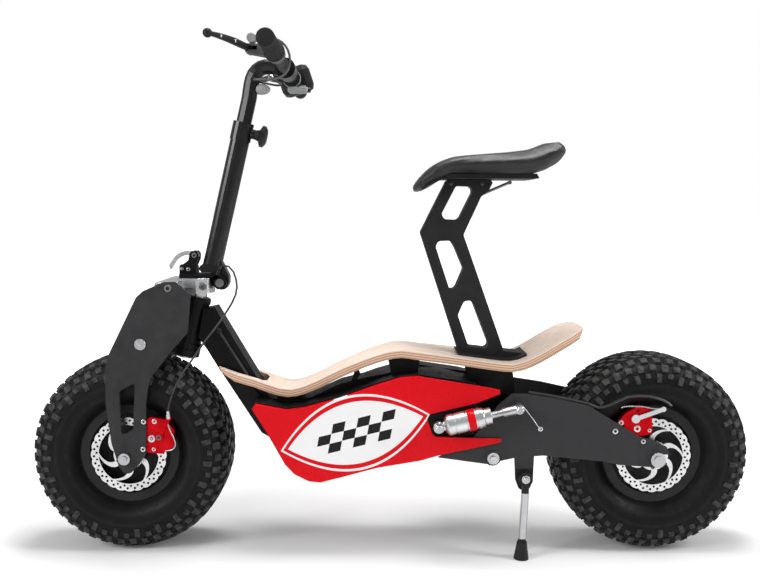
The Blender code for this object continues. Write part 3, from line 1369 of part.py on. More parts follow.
# Swing arm, shocks and stand
def swing_arm():
    """The two rear plates with the bridge between them and the bracket of the stand."""
    slot = ring_points(REAR_X, 0, MOTOR_AXLE_RADIUS + FIT, 8, 90, 270)
    slot_half = MOTOR_AXLE_RADIUS + FIT
    upper = [
        (219, 120), (247, 120), (300, 112), (360, 99), (400, 74), (455, 41), (481, 34), (505, 22), (509, 11),
    ]
    lower = [
        (506, -11), (500, -16), (484, -16), (416, -11), (389, -5), (278, 6), (228, 2), (174, -10), (86, 2),
        (150, 40), (196, 100),
    ]
    end = mm([(509.5, 0)])[0][0]
    line = mm(upper) + [(end, slot_half)] + slot + [(end - 3 * MM, -slot_half)] + mm(lower)
    hole = ring_points(PIVOT_X * LONG, PIVOT_Z, PIVOT_RADIUS + FIT, 16)
    arm = None
    for side in (-1, 1):
        one = plate(line, side * ARM_Y, ARM_PLATE, [hole])
        arm = join(arm, one) if arm else one
    rear = REAR_X - TYRE_RADIUS - BRIDGE_GAP
    bridge = [(-32, 24), (-4, 24), (0, 34), (0, 76), (-8, 84), (-28, 84), (-34, 74), (-34, 32)]
    bridge = [(rear + x * MM, z * MM) for x, z in bridge]
    join(arm, plate(bridge, 0, 2 * PLATE_IN + ARM_PLATE))
    lug = mm([(225, 20), (262, 20), (260, -40), (255, -55), (245, -61), (234, -56), (228, -40)])
    join(arm, plate(rounded(lug, 5 * MM, 2), -ARM_Y, ARM_PLATE - 0.04 * MM))
    for side in (-1, 1):
        eye = at(SHOCK_REAR_X, side * (ARM_Y - 1 * MM), SHOCK_REAR_Z)
        join(arm, rod(eye, eye + Vector((0, side * (SHOCK_Y - ARM_Y + 9 * MM), 0)), SHOCK_BOLT, sides=12))
        spacer = at(SHOCK_REAR_X, side * (ARM_OUT - 2 * MM), SHOCK_REAR_Z)
        spacer_end = at(SHOCK_REAR_X, side * (SHOCK_Y - 10 * MM), SHOCK_REAR_Z)
        join(arm, rod(spacer, spacer_end, SPACER_RADIUS, sides=12))
    stand_bolt = at(STAND_X, -ARM_OUT + 2 * MM, STAND_Z)
    join(arm, rod(stand_bolt, stand_bolt + Vector((0, -14 * MM, 0)), STAND_BOLT, sides=12))
    return part("swing_arm", arm, "powder_grey")


def motor_stator():
    """The fixed core of the hub motor with the rear axle."""
    core = [
        (MOTOR_AXLE_RADIUS, STATOR_HALF - 6 * MM),
        (STATOR_RADIUS - 12 * MM, STATOR_HALF - 6 * MM),
        (STATOR_RADIUS, STATOR_HALF),
        (STATOR_RADIUS, -STATOR_HALF),
        (STATOR_RADIUS - 12 * MM, 6 * MM - STATOR_HALF),
        (MOTOR_AXLE_RADIUS, 6 * MM - STATOR_HALF),
    ]
    line = axle_line(MOTOR_AXLE_RADIUS, 13 * MM, 48.6 * MM, 14 * MM, ARM_OUT, core)
    return part("motor_stator", turned(line, REAR_AXLE, 12), "steel")


def shock(side):
    """A gas shock: the body turns on the frame and the shaft slides in it."""
    front = at(SHOCK_FRONT_X, side * SHOCK_Y, SHOCK_FRONT_Z)
    rear = at(SHOCK_REAR_X, side * SHOCK_Y, SHOCK_REAR_Z)
    way = (rear - front).normalized()
    length = (rear - front).length
    word = "left" if side < 0 else "right"
    across = Vector((0, 1, 0))
    profile = [
        (0, SHOCK_COLLAR_END),
        (SHOCK_COLLAR, SHOCK_COLLAR_END),
        (SHOCK_COLLAR, SHOCK_BODY_END + 2 * MM),
        (SHOCK_RADIUS, SHOCK_BODY_END),
        (SHOCK_RADIUS, SHOCK_START),
        (11 * MM, SHOCK_START - 6 * MM),
        (0, SHOCK_START - 6 * MM),
    ]
    can = turned(profile, front, 18, way)
    turn = Matrix.Rotation(-math.atan2(way.z, way.x), 4, "Y")
    half_eye = SHOCK_EYE_WIDTH / 2 * across
    join(can, block((14 * MM, SHOCK_EYE_WIDTH - 0.1 * MM, 17 * MM), front + 8 * MM * way, turn=turn))
    join(can, rod(front - half_eye, front + half_eye, SHOCK_EYE + 1 * MM, sides=16))
    cut(can, rod(front - 20 * MM * across, front + 20 * MM * across, SHOCK_BOLT + 2 * FIT, sides=12))
    cut(can, rod(front + 36 * MM * way, front + 100 * MM * way, SHOCK_SHAFT + 2 * FIT, sides=12))
    can = part("shock_body_" + word, can, "silver")
    rear_eye = rod(rear - 6 * MM * across, rear + 6 * MM * across, SHOCK_EYE, sides=16)
    join(rear_eye, rod(front + 60 * MM * way, rear, SHOCK_SHAFT, sides=12))
    join(rear_eye, rod(front + (length - 30 * MM) * way, front + (length - 4 * MM) * way, 8.5 * MM, sides=12))
    cut(rear_eye, rod(rear - 20 * MM * across, rear + 20 * MM * across, SHOCK_BOLT + 2 * FIT, sides=12))
    shaft = part("shock_shaft_" + word, rear_eye, "steel")
    carrier("shock_axis_" + word, front, [can, shaft])


def stand_leg():
    """The side stand with its rubber foot."""
    eye = at(STAND_X, -ARM_OUT - FIT, STAND_Z)
    leg_y = -ARM_OUT - STAND_LEG_RADIUS - FIT
    obj = rod(eye, eye + Vector((0, -2 * STAND_LEG_RADIUS + 1 * MM, 0)), STAND_KNUCKLE - 2 * MM, sides=18)
    floor = -AXLE_Z
    line = [at(STAND_X, leg_y, STAND_Z - 6 * MM), at(STAND_X, leg_y, STAND_Z - 30 * MM)]
    line.append(at(STAND_X - 2 * MM, leg_y, STAND_Z - 70 * MM))
    line.append(at(STAND_X - 5 * MM, leg_y - 3 * MM, floor + STAND_FOOT_HEIGHT))
    join(obj, tube(line, STAND_LEG_RADIUS, 2))
    top = Vector(line[-1]) + Vector((0, 0, 4 * MM))
    sole = at(STAND_X - 6 * MM, leg_y - 3 * MM, floor + STAND_LIFT)
    join(obj, rod(sole, top, STAND_FOOT_RADIUS, STAND_LEG_RADIUS + 2 * MM, sides=16))
    cut(obj, rod(eye + Vector((0, 10 * MM, 0)), eye + Vector((0, -30 * MM, 0)), STAND_BOLT + FIT, sides=12))
    obj = part("stand_leg", obj, "silver")
    carrier("stand_axis", at(STAND_X, leg_y, STAND_Z), [obj])
    return obj


def rear_cables():
    """The rear brake cable where the frame and the swing arm hold it."""
    over = CABLE_RADIUS + FIT
    arm_line = [
        (250, 120), (300, 112), (360, 99), (378, 92), (400, 97), (432, 112), (470, 113), (500, 104),
        (512, 95),
    ]
    arm_points = [at(x * MM, -ARM_Y, z * MM + over + 0.5 * MM) for x, z in arm_line]
    on_arm = part("rear_cable_arm", tube(through(arm_points, 2), CABLE_RADIUS, 1), "rubber")
    start = -DOWN_TUBE_WIDTH / 2 - over
    frame_line = [(-322, 226), (-303, 196), (-282, 163), (-262, 132), (-246, 116)]
    frame_points = [at(x * MM, start, z * MM) for x, z in frame_line]
    part("rear_cable_frame", tube(through(frame_points, 2), CABLE_RADIUS, 1), "rubber")
    return on_arm


def rear():
    """Everything that moves with the swing arm."""
    axle = REAR_AXLE
    outer = [(-76, 62), (-58, 84), (-33, 98), (-10, 91), (-8, 46), (-40, 38), (-70, 40)]
    inner = [(-60, 58), (-48, 70), (-30, 82), (-14, 82), (-16, 58), (-34, 50), (-54, 40)]
    brake = caliper("rear_caliper", axle, outer, inner, [(-62, 60), (-36, 88)])
    arm = caliper_arm("rear_caliper_arm", axle, (-40, 74), (10, 92))
    pieces = [swing_arm(), motor_stator(), brake, arm.parent, rear_cables(), stand_leg().parent]
    carrier("swing_axis", at(PIVOT_X, 0, PIVOT_Z), pieces)
    for side in (-1, 1):
        shock(side)


def main():
    global PARTS, CUTTERS
    for obj in list(bpy.data.objects):
        bpy.data.objects.remove(obj)
    for group in list(bpy.data.collections):
        bpy.data.collections.remove(group)
    PARTS = bpy.data.collections.new("electric_scooter")
    CUTTERS = bpy.data.collections.new("helpers")
    for group in (PARTS, CUTTERS):
        bpy.context.scene.collection.children.link(group)
    CUTTERS.hide_render = True
    wheels()
    steering()
    handlebar()
    deck_board()
    main_frame()
    swing_pivot_shaft()
    body_shell()
    side_panel("side_panel_left", -1)
    side_panel("side_panel_right", 1)
    battery_pack()
    motor_controller()
    seat_post()
    seat()
    rear()


main()
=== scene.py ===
"""Looks of the electric scooter: materials, tyres, discs, upholstery, cables and small fittings."""

import math

import bmesh
import bpy
import numpy as np
from mathutils import Matrix, Vector


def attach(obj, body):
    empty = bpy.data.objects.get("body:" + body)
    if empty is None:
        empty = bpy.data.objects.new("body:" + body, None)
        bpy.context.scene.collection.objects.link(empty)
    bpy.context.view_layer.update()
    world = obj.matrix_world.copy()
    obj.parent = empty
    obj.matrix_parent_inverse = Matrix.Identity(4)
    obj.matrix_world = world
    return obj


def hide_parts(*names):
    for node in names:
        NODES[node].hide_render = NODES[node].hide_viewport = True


MM = 0.001
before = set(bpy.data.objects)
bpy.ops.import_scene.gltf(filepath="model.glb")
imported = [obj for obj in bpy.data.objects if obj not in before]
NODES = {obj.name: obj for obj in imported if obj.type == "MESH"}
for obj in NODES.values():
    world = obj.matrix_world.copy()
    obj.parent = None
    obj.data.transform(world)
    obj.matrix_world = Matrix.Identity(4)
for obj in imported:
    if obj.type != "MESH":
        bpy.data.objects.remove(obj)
SCENE = bpy.context.scene
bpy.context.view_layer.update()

# Places that the CAD shares, in metres
FRONT_AXLE = Vector((-0.4875, 0, 0.184))
REAR_AXLE = Vector((0.4875, 0, 0.184))
DATUM = Vector((0, 0, 0.184))
LEFT = Vector((0, -1, 0))
RIGHT = Vector((0, 1, 0))


def at(x, y, z):
    """A point in metres from millimetres off the wheelbase's middle at axle height."""
    return DATUM + Vector((x, y, z)) * MM


def linked(name, data):
    """A new object in the scene."""
    obj = bpy.data.objects.new(name, data)
    SCENE.collection.objects.link(obj)
    return obj


# Camera at the photograph's viewing angle
def make_camera():
    lens = bpy.data.cameras.new("camera")
    lens.sensor_width = 36
    lens.lens = 41.81
    camera = linked("camera", lens)
    yaw, pitch, roll = 0.00549062, -0.0892559, 0.00315027
    ahead = Vector((math.sin(yaw) * math.cos(pitch), math.cos(yaw) * math.cos(pitch), math.sin(pitch)))
    right = ahead.cross(Vector((0, 0, 1))).normalized()
    up = right.cross(ahead)
    right, up = math.cos(roll) * right + math.sin(roll) * up, math.cos(roll) * up - math.sin(roll) * right
    turn = Matrix((right, up, -ahead)).transposed().to_4x4()
    camera.matrix_world = Matrix.Translation((-0.0307835, -1.66745, 0.639548)) @ turn
    SCENE.camera = camera


make_camera()


# Mesh helpers
def put(name, mesh, body, finish, smooth=40, replaces=()):
    """Places a mesh, or what bmesh made, as a named piece on a body, with a material."""
    if isinstance(mesh, bmesh.types.BMesh):
        mesh = mesh_of(name, mesh)
    piece = linked(name, mesh)
    mesh.materials.clear()
    mesh.materials.append(finish)
    if smooth:
        mesh.polygons.foreach_set("use_smooth", [True] * len(mesh.polygons))
        mesh.set_sharp_from_angle(angle=math.radians(smooth))
    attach(piece, body)
    if replaces:
        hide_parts(*replaces)
    return piece


def mesh_of(name, made):
    """A mesh from bmesh data, with its faces turned outwards."""
    bmesh.ops.recalc_face_normals(made, faces=made.faces)
    mesh = bpy.data.meshes.new(name)
    made.to_mesh(mesh)
    made.free()
    return mesh


def evaluated(obj):
    """The object's mesh with its modifiers applied."""
    graph = bpy.context.evaluated_depsgraph_get()
    return bpy.data.meshes.new_from_object(obj.evaluated_get(graph))


def add_bevel(obj, width):
    """Rounds the hard edges of an object."""
    bevel = obj.modifiers.new("bevel", "BEVEL")
    bevel.width = width
    bevel.segments = 2
    bevel.limit_method = "ANGLE"
    bevel.angle_limit = math.radians(32)
    bevel.harden_normals = True


def bridge(made, rings):
    """Adds the faces between rings of vertices, where a ring of one vertex is a tip."""
    for first, second in zip(rings, rings[1:]):
        steps = max(len(first), len(second))
        for step in range(steps):
            after = (step + 1) % steps
            spots = [(first, step), (second, step), (second, after), (first, after)]
            corners = list(dict.fromkeys(ring[place % len(ring)] for ring, place in spots))
            if len(corners) > 2:
                made.faces.new(corners)


def lathe(made, profile, matrix, steps):
    """Adds the solid of a radius and height profile turned about Z."""
    rings = []
    for radius, height in profile:
        spots = circle(0, 0, radius, steps if radius > 0 else 1)
        rings.append([made.verts.new(matrix @ Vector((x, y, height))) for x, y in spots])
    bridge(made, rings)


def facing(direction):
    """The turn that points Z along a direction."""
    return Vector(direction).to_track_quat("Z", "Y").to_matrix().to_4x4()


ALONG_Y = facing((0, -1, 0))


def lathe_mm(made, profile, place, turn, steps):
    """A lathed solid in millimetres, at a place and with a turn."""
    lathe(made, [(radius * MM, height * MM) for radius, height in profile], Matrix.Translation(place) @ turn, steps)


def turned(name, profile, place, direction, body, finish, steps, replaces=()):
    """A lathed piece from a profile in millimetres, closed at both ends."""
    made = bmesh.new()
    lathe_mm(made, profile, place, facing(direction), steps)
    return put(name, made, body, finish, 35, replaces)


def bolt(made, place, direction, radius, height, sides=6, washer=0.0):
    """A bolt head with its socket and washer, added to a mesh."""
    matrix = Matrix.Translation(place) @ facing(direction)
    base = 0.0
    if washer:
        ring = [(0, -0.4 * MM), (washer, -0.4 * MM), (washer, 1.0 * MM), (washer - 0.4 * MM, 1.3 * MM), (0, 1.3 * MM)]
        lathe(made, ring, matrix, 32)
        base = 1.2 * MM
    if sides == 6:
        flat = [(0, base - 1.2 * MM), (radius, base - 1.2 * MM), (radius, base + height * 0.8)]
        flat += [(radius * 0.86, base + height), (0, base + height)]
        lathe(made, flat, matrix, 6)
        return
    socket = radius * 0.48
    round_head = [
        (0, base - 1.2 * MM), (radius, base - 1.2 * MM), (radius, base + height * 0.55),
        (radius * 0.93, base + height * 0.85), (radius * 0.78, base + height), (socket, base + height),
        (socket, base - 0.8 * MM), (0, base - 0.8 * MM),
    ]
    lathe(made, round_head, matrix, 32)


def add_spline(curve, line):
    """Adds a line of straight pieces through 3-D points to a curve."""
    spline = curve.splines.new("POLY")
    spline.points.add(len(line) - 1)
    for point, spot in zip(spline.points, line):
        point.co = (*spot, 1)
    return spline


def outline_mesh(name, lines, thickness, matrix):
    """A flat plate from closed outlines, where inner outlines become openings."""
    curve = bpy.data.curves.new(name, "CURVE")
    curve.dimensions = "2D"
    curve.fill_mode = "BOTH"
    curve.extrude = thickness / 2
    for line in lines:
        add_spline(curve, [(x, y, 0) for x, y in line]).use_cyclic_u = True
    holder = linked(name, curve)
    mesh = evaluated(holder)
    bpy.data.objects.remove(holder)
    mesh.transform(matrix)
    made = bmesh.new()
    made.from_mesh(mesh)
    bmesh.ops.remove_doubles(made, verts=made.verts, dist=1e-6)
    made.to_mesh(mesh)
    made.free()
    return mesh


UPRIGHT = Matrix.Rotation(math.radians(90), 4, "X")


def side_plate(made, outline, middle, thickness):
    """Adds a plate whose outline is given in the side view, in millimetres from the datum."""
    lines = [[(x * MM, z * MM) for x, z in outline]]
    place = Matrix.Translation(DATUM + Vector((0, middle * MM, 0))) @ UPRIGHT
    mesh = outline_mesh("plate", lines, thickness * MM, place)
    made.from_mesh(mesh)
    bpy.data.meshes.remove(mesh)


def circle(x, y, radius, steps):
    """The points of a circle."""
    turns = [2 * math.pi * step / steps for step in range(steps)]
    return [(x + radius * math.cos(turn), y + radius * math.sin(turn)) for turn in turns]


def smooth_line(points, steps):
    """A Catmull-Rom line through the points."""
    given = [Vector(p) for p in points]
    given = [2 * given[0] - given[1]] + given + [2 * given[-1] - given[-2]]
    line = []
    for index in range(1, len(given) - 2):
        a, b, c, d = given[index - 1 : index + 3]
        for step in range(steps):
            t = step / steps
            squared, cubed = 2 * a - 5 * b + 4 * c - d, 3 * b - a - 3 * c + d
            line.append(0.5 * (2 * b + (c - a) * t + squared * t * t + cubed * t**3))
    line.append(given[-2])
    return line


def wire(name, line, radius, body, finish):
    """A round wire or cable along a line of points."""
    curve = bpy.data.curves.new(name, "CURVE")
    curve.dimensions = "3D"
    curve.bevel_depth = radius * MM
    curve.bevel_resolution = 4
    curve.use_fill_caps = True
    add_spline(curve, line).use_smooth = True
    curve.materials.append(finish)
    obj = linked(name, curve)
    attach(obj, body)
    return obj


def free_cable(name, points, radius, body, finish, steps):
    """A cable that goes from one place on the object to another."""
    line = smooth_line([at(*p) for p in points], steps)
    obj = wire(name, line, radius, body, finish)


# Material helpers
def feed(tree, socket, value):
    """Sets an input to a plain value, or links an output to it."""
    if isinstance(value, bpy.types.NodeSocket):
        tree.links.new(value, socket)
    else:
        socket.default_value = value


def new_node(tree, kind, **values):
    """A shader node with some of its inputs fed by name."""
    node = tree.nodes.new("ShaderNode" + kind)
    for word, value in values.items():
        feed(tree, node.inputs[word.replace("_", " ")], value)
    return node


def new_material(name, shine=0.5, metallic=0.0):
    """A material with its shader and its object coordinates."""
    material = bpy.data.materials.new(name)
    material.use_nodes = True
    tree = material.node_tree
    shader = tree.nodes["Principled BSDF"]
    shader.inputs["Specular IOR Level"].default_value = shine
    shader.inputs["Metallic"].default_value = metallic
    return material, tree, shader, new_node(tree, "TexCoord").outputs["Object"]


def scaled(tree, vector, scale):
    return new_node(tree, "Mapping", Scale=scale, Vector=vector).outputs["Vector"]


def noise_at(tree, vector, scale, detail=3.0, rough=0.5):
    return new_node(tree, "TexNoise", Scale=scale, Detail=detail, Roughness=rough, Vector=vector).outputs["Fac"]


def ramp(tree, value, stops, sharp=False):
    """Colours over a value, from (place, colour) pairs."""
    node = new_node(tree, "ValToRGB", Fac=value)
    if sharp:
        node.color_ramp.interpolation = "CONSTANT"
    bands = node.color_ramp.elements
    while len(bands) < len(stops):
        bands.new(0.5)
    for band, (place, colour) in zip(bands, stops):
        band.position = place
        band.color = (*colour, 1)
    return node.outputs["Color"]


def span(tree, value, low, high, start=0.3, end=0.7):
    """The value's middle range spread over low to high."""
    node = new_node(tree, "MapRange", From_Min=start, From_Max=end, To_Min=low, To_Max=high, Value=value)
    return node.outputs["Result"]


def bump(tree, shader, height, strength, distance):
    node = new_node(tree, "Bump", Strength=strength, Distance=distance, Height=height)
    tree.links.new(node.outputs["Normal"], shader.inputs["Normal"])


def mottle(tree, shader, place, scale, detail, dark, light):
    """A base colour that wanders between two tones."""
    tone = ramp(tree, noise_at(tree, place, scale, detail), [(0.3, dark), (0.7, light)])
    tree.links.new(tone, shader.inputs["Base Color"])


def uneven(tree, shader, value, rough):
    """Roughness between two limits, which follows a value."""
    tree.links.new(span(tree, value, *rough), shader.inputs["Roughness"])


def mix(tree, share, first, second):
    """A colour between two, each a tuple or an output."""
    node = new_node(tree, "Mix")
    node.data_type = "RGBA"
    for place, value in ((0, share), (6, first), (7, second)):
        feed(tree, node.inputs[place], (*value, 1) if isinstance(value, tuple) else value)
    return node.outputs[2]


def maths(tree, operation, *values):
    """One step of arithmetic on numbers or outputs."""
    node = new_node(tree, "Math")
    node.operation = operation
    for socket, value in zip(node.inputs, values):
        feed(tree, socket, value)
    return node.outputs[0]


def axes(tree, vector):
    return new_node(tree, "SeparateXYZ", Vector=vector).outputs


def distance(tree, a, b):
    """The length of a line with the run a and the rise b."""
    squares = maths(tree, "ADD", maths(tree, "MULTIPLY", a, a), maths(tree, "MULTIPLY", b, b))
    return maths(tree, "SQRT", squares)


def off_axle(tree, place, centre):
    """The distance from an axle, and the distance along it."""
    x, y, z = axes(tree, place)
    radius = distance(tree, maths(tree, "SUBTRACT", x, centre.x), maths(tree, "SUBTRACT", z, centre.z))
    return radius, maths(tree, "ABSOLUTE", y)


# Materials
def painted(name, dark, light, rough, shine, grain, depth):
    """Powder coat or moulded plastic: slight mottling, a fine pebble and uneven gloss."""
    material, tree, shader, place = new_material(name, shine)
    mottle(tree, shader, place, 28, 4, dark, light)
    uneven(tree, shader, noise_at(tree, place, 60, 3), rough)
    bump(tree, shader, noise_at(tree, place, grain, 2), depth, 0.4 * MM)
    return material


def metal(name, dark, light, rough, brush=(1, 1, 1)):
    """Bare metal with fine brushing along one direction."""
    material, tree, shader, place = new_material(name, metallic=1.0)
    lines = noise_at(tree, scaled(tree, place, brush), 240, 3)
    mottle(tree, shader, place, 35, 3, dark, light)
    uneven(tree, shader, lines, rough)
    bump(tree, shader, lines, 0.08, 0.15 * MM)
    return material


def ringed(name, centre, dark, light, rough, pitch, depth, metallic=0.0):
    """A turned surface with fine rings round an axle."""
    material, tree, shader, place = new_material(name, 0.25, metallic)
    radius = off_axle(tree, place, centre)[0]
    rings = maths(tree, "SINE", maths(tree, "MULTIPLY", radius, 2 * math.pi / (pitch * MM)))
    mottle(tree, shader, place, 30, 4, (dark,) * 3, (light,) * 3)
    uneven(tree, shader, noise_at(tree, place, 50, 3), rough)
    bump(tree, shader, rings, depth, 0.3 * MM)
    return material


def rubber(name, dark, light, rough, shine, wear_and_highlight=0.0):
    """Rubber with dust, and with paler edges: part wear, part a painted highlight on the lug edges."""
    material, tree, shader, place = new_material(name, shine)
    tone = ramp(tree, noise_at(tree, place, 18, 5, 0.6), [(0.35, dark), (0.72, light)])
    if wear_and_highlight:
        # Pointiness makes the sharp lug edges paler: partly wear, partly a painted highlight where the knobs catch the
        # light.
        point = new_node(tree, "NewGeometry").outputs["Pointiness"]
        edges = ramp(tree, point, [(0.505, (0, 0, 0)), (0.56, (1, 1, 1))])
        worn_and_lit_edges = maths(tree, "MULTIPLY", edges, span(tree, noise_at(tree, place, 160, 3), 0.2, 1.0))
        tone = mix(tree, worn_and_lit_edges, tone, (wear_and_highlight, wear_and_highlight, wear_and_highlight))
    tree.links.new(tone, shader.inputs["Base Color"])
    uneven(tree, shader, noise_at(tree, place, 90, 3), rough)
    bump(tree, shader, noise_at(tree, place, 1400, 2), 0.25, 0.3 * MM)
    return material


def banded(name, finishes, levels, rough, metallic_from=None):
    """Finishes that change with height: colours below and above the given levels."""
    material, tree, shader, place = new_material(name, 0.25)
    z = axes(tree, place)[2]
    span_low, span_high = levels[0] - 0.05, levels[-1] + 0.05
    share = span(tree, z, 0, 1, span_low, span_high)
    stops = [(0.0, finishes[0])]
    stops += [((level - span_low) / (span_high - span_low), colour) for level, colour in zip(levels, finishes[1:])]
    tree.links.new(ramp(tree, share, stops, True), shader.inputs["Base Color"])
    uneven(tree, shader, noise_at(tree, place, 60, 3), rough)
    if metallic_from:
        above = maths(tree, "GREATER_THAN", z, metallic_from[0])
        below = maths(tree, "LESS_THAN", z, metallic_from[1])
        tree.links.new(maths(tree, "MULTIPLY", above, below), shader.inputs["Metallic"])
    bump(tree, shader, noise_at(tree, place, 900, 2), 0.3, 0.3 * MM)
    return material


POWDER = painted("powder_grey", (0.021, 0.021, 0.0225), (0.033, 0.033, 0.035), (0.55, 0.7), 0.2, 900, 1.0)
SATIN = painted("satin_black", (0.009, 0.009, 0.0095), (0.014, 0.014, 0.0145), (0.45, 0.6), 0.25, 800, 0.3)
BLACK = painted("frame_black", (0.0035, 0.0035, 0.0038), (0.006, 0.006, 0.0064), (0.34, 0.46), 0.13, 420, 0.12)
HOSE = painted("grey_hose", (0.022, 0.022, 0.0225), (0.04, 0.04, 0.041), (0.4, 0.5), 0.3, 1500, 0.2)
PLASTIC = painted("black_plastic", (0.006, 0.006, 0.0065), (0.01, 0.01, 0.0105), (0.42, 0.56), 0.25, 1200, 0.35)
PALE = painted("grey_plastic", (0.24, 0.245, 0.25), (0.31, 0.315, 0.32), (0.4, 0.55), 0.3, 1100, 0.2)
MID = painted("cast_grey", (0.045, 0.045, 0.047), (0.1, 0.1, 0.103), (0.42, 0.58), 0.35, 500, 0.6)
RED = painted("red_gloss", (0.55, 0.0015, 0.005), (0.62, 0.002, 0.007), (0.22, 0.3), 0.12, 160, 0.03)
GLOSS = painted("stem_gloss", (0.004, 0.004, 0.0044), (0.006, 0.006, 0.0065), (0.2, 0.28), 0.4, 300, 0.05)
SILVER = metal("cast_aluminium", (0.56, 0.57, 0.58), (0.72, 0.73, 0.74), (0.26, 0.4))
STEEL = metal("steel", (0.42, 0.42, 0.43), (0.6, 0.6, 0.61), (0.24, 0.4), (1, 8, 1))
DULL = metal("zinc_plate", (0.14, 0.14, 0.145), (0.22, 0.22, 0.225), (0.4, 0.55))
ANODISED = metal("red_anodised", (0.42, 0.003, 0.006), (0.6, 0.008, 0.014), (0.3, 0.44))
# The last value is the pale edge tone: part wear, part a painted highlight on the lug edges.
RUBBER = rubber("tyre_rubber", (0.003, 0.003, 0.0032), (0.007, 0.0068, 0.0068), (0.42, 0.6), 0.14, 0.06)
GRIP = rubber("grip_rubber", (0.011, 0.011, 0.0115), (0.02, 0.02, 0.0205), (0.6, 0.78), 0.2)
WRAP = painted("blue_wrap", (0.012, 0.05, 0.2), (0.03, 0.1, 0.3), (0.25, 0.4), 0.3, 60, 0.3)
CABLE = painted("cable_jacket", (0.012, 0.012, 0.0125), (0.02, 0.02, 0.0205), (0.34, 0.46), 0.5, 1500, 0.2)
SHEATH = painted("grey_sheath", (0.06, 0.06, 0.062), (0.1, 0.1, 0.103), (0.34, 0.46), 0.4, 1500, 0.2)
FRONT_RIM = ringed("front_rim_paint", FRONT_AXLE, 0.006, 0.011, (0.3, 0.42), 3.2, 0.22)
REAR_RIM = ringed("rear_rim_paint", REAR_AXLE, 0.006, 0.011, (0.3, 0.42), 3.2, 0.22)
FRONT_DISC = ringed("front_disc_steel", FRONT_AXLE, 0.6, 0.78, (0.22, 0.34), 0.9, 0.1, 1.0)
REAR_DISC = ringed("rear_disc_steel", REAR_AXLE, 0.6, 0.78, (0.22, 0.34), 0.9, 0.1, 1.0)
STAND = banded(
    "stand_finish", [(0.012,) * 3, (0.55, 0.56, 0.57), (0.008,) * 3], [0.0375, 0.122], (0.36, 0.5), (0.0375, 0.122)
)
ARM = banded("arm_powder", [(0.009,) * 3, (0.028, 0.028, 0.03)], [0.1655], (0.55, 0.7))
POD = banded("pod_plastic", [(0.27, 0.275, 0.28), (0.012,) * 3], [0.8795], (0.4, 0.55))


def winding():
    """The hub motor's fixed core: copper where the windings are, plain steel elsewhere."""
    material, tree, shader, place = new_material("motor_core", metallic=1.0)
    radius, across = off_axle(tree, place, REAR_AXLE)
    shaft_radius, half_width = 20 * MM, 24.5 * MM
    outside = maths(tree, "GREATER_THAN", radius, shaft_radius)
    share = maths(tree, "MULTIPLY", outside, maths(tree, "LESS_THAN", across, half_width))
    strands = noise_at(tree, scaled(tree, place, (1, 1, 12)), 240, 3)
    copper = ramp(tree, strands, [(0.3, (0.45, 0.2, 0.08)), (0.7, (0.7, 0.36, 0.18))])
    tree.links.new(mix(tree, share, (0.5, 0.5, 0.51), copper), shader.inputs["Base Color"])
    uneven(tree, shader, strands, (0.28, 0.42))
    bump(tree, shader, strands, 0.1, 0.2 * MM)
    return material


# Deck's top line in the side view, in millimetres from the datum
DECK_TOP = [
    (-322, 162), (-287, 149), (-252, 139), (-222, 128), (-193, 121), (-167, 126), (-136, 139), (-105, 155),
    (-60, 175), (-16, 191), (17, 197), (52, 193), (122, 185), (184, 177), (222, 174), (249, 182), (280, 199),
    (310, 217), (337, 231), (357, 238),
]


def deck_height(x):
    """The deck's top at a place along it, in millimetres."""
    line = smooth_line(DECK_TOP, 4)
    return float(np.interp(x, [spot.x for spot in line], [spot.y for spot in line]))


def maple():
    """Bent plywood: pale grain on top and the lines of the veneers along its edge."""
    material, tree, shader, place = new_material("maple_ply", 0.35)
    x, y, z = axes(tree, place)
    low, high = 110, 250
    nose, tail = DECK_TOP[0][0], DECK_TOP[-1][0]
    share = span(tree, x, 0, 1, nose * MM, tail * MM)
    curve = new_node(tree, "FloatCurve", Value=share)
    line = curve.mapping.curves[0]
    places = [step / 30 for step in range(31)]
    for spot in places[1:-1]:
        line.points.new(spot, 0.5)
    for point, spot in zip(line.points, places):
        point.location = (spot, (deck_height(nose + (tail - nose) * spot) - low) / (high - low))
        point.handle_type = "VECTOR"
    curve.mapping.update()
    top = maths(tree, "ADD", maths(tree, "MULTIPLY", curve.outputs[0], (high - low) * MM), (184 + low) * MM)
    depth = maths(tree, "DIVIDE", maths(tree, "SUBTRACT", top, z), 15 * MM)
    veneers = [
        (0.0, (0.8, 0.66, 0.57)), (0.12, (0.7, 0.5, 0.38)), (0.2, (0.26, 0.14, 0.08)), (0.28, (0.66, 0.44, 0.31)),
        (0.42, (0.68, 0.46, 0.33)), (0.5, (0.25, 0.13, 0.075)), (0.58, (0.66, 0.44, 0.31)), (0.73, (0.64, 0.42, 0.29)),
        (0.8, (0.22, 0.115, 0.065)), (0.88, (0.52, 0.33, 0.22)), (1.0, (0.36, 0.21, 0.13)),
    ]
    edge = ramp(tree, depth, veneers)
    grain = noise_at(tree, scaled(tree, place, (1.0, 16.0, 16.0)), 9, 8, 0.66)
    face = ramp(tree, grain, [(0.28, (0.58, 0.42, 0.32)), (0.5, (0.75, 0.6, 0.5)), (0.74, (0.83, 0.7, 0.61))])
    flat = axes(tree, new_node(tree, "NewGeometry").outputs["Normal"])[2]
    upper = span(tree, maths(tree, "ABSOLUTE", flat), 0, 1, 0.55, 0.8)
    tree.links.new(mix(tree, upper, edge, face), shader.inputs["Base Color"])
    uneven(tree, shader, grain, (0.34, 0.5))
    shader.inputs["Coat Weight"].default_value = 0.15
    bump(tree, shader, grain, 0.12, 0.3 * MM)
    return material


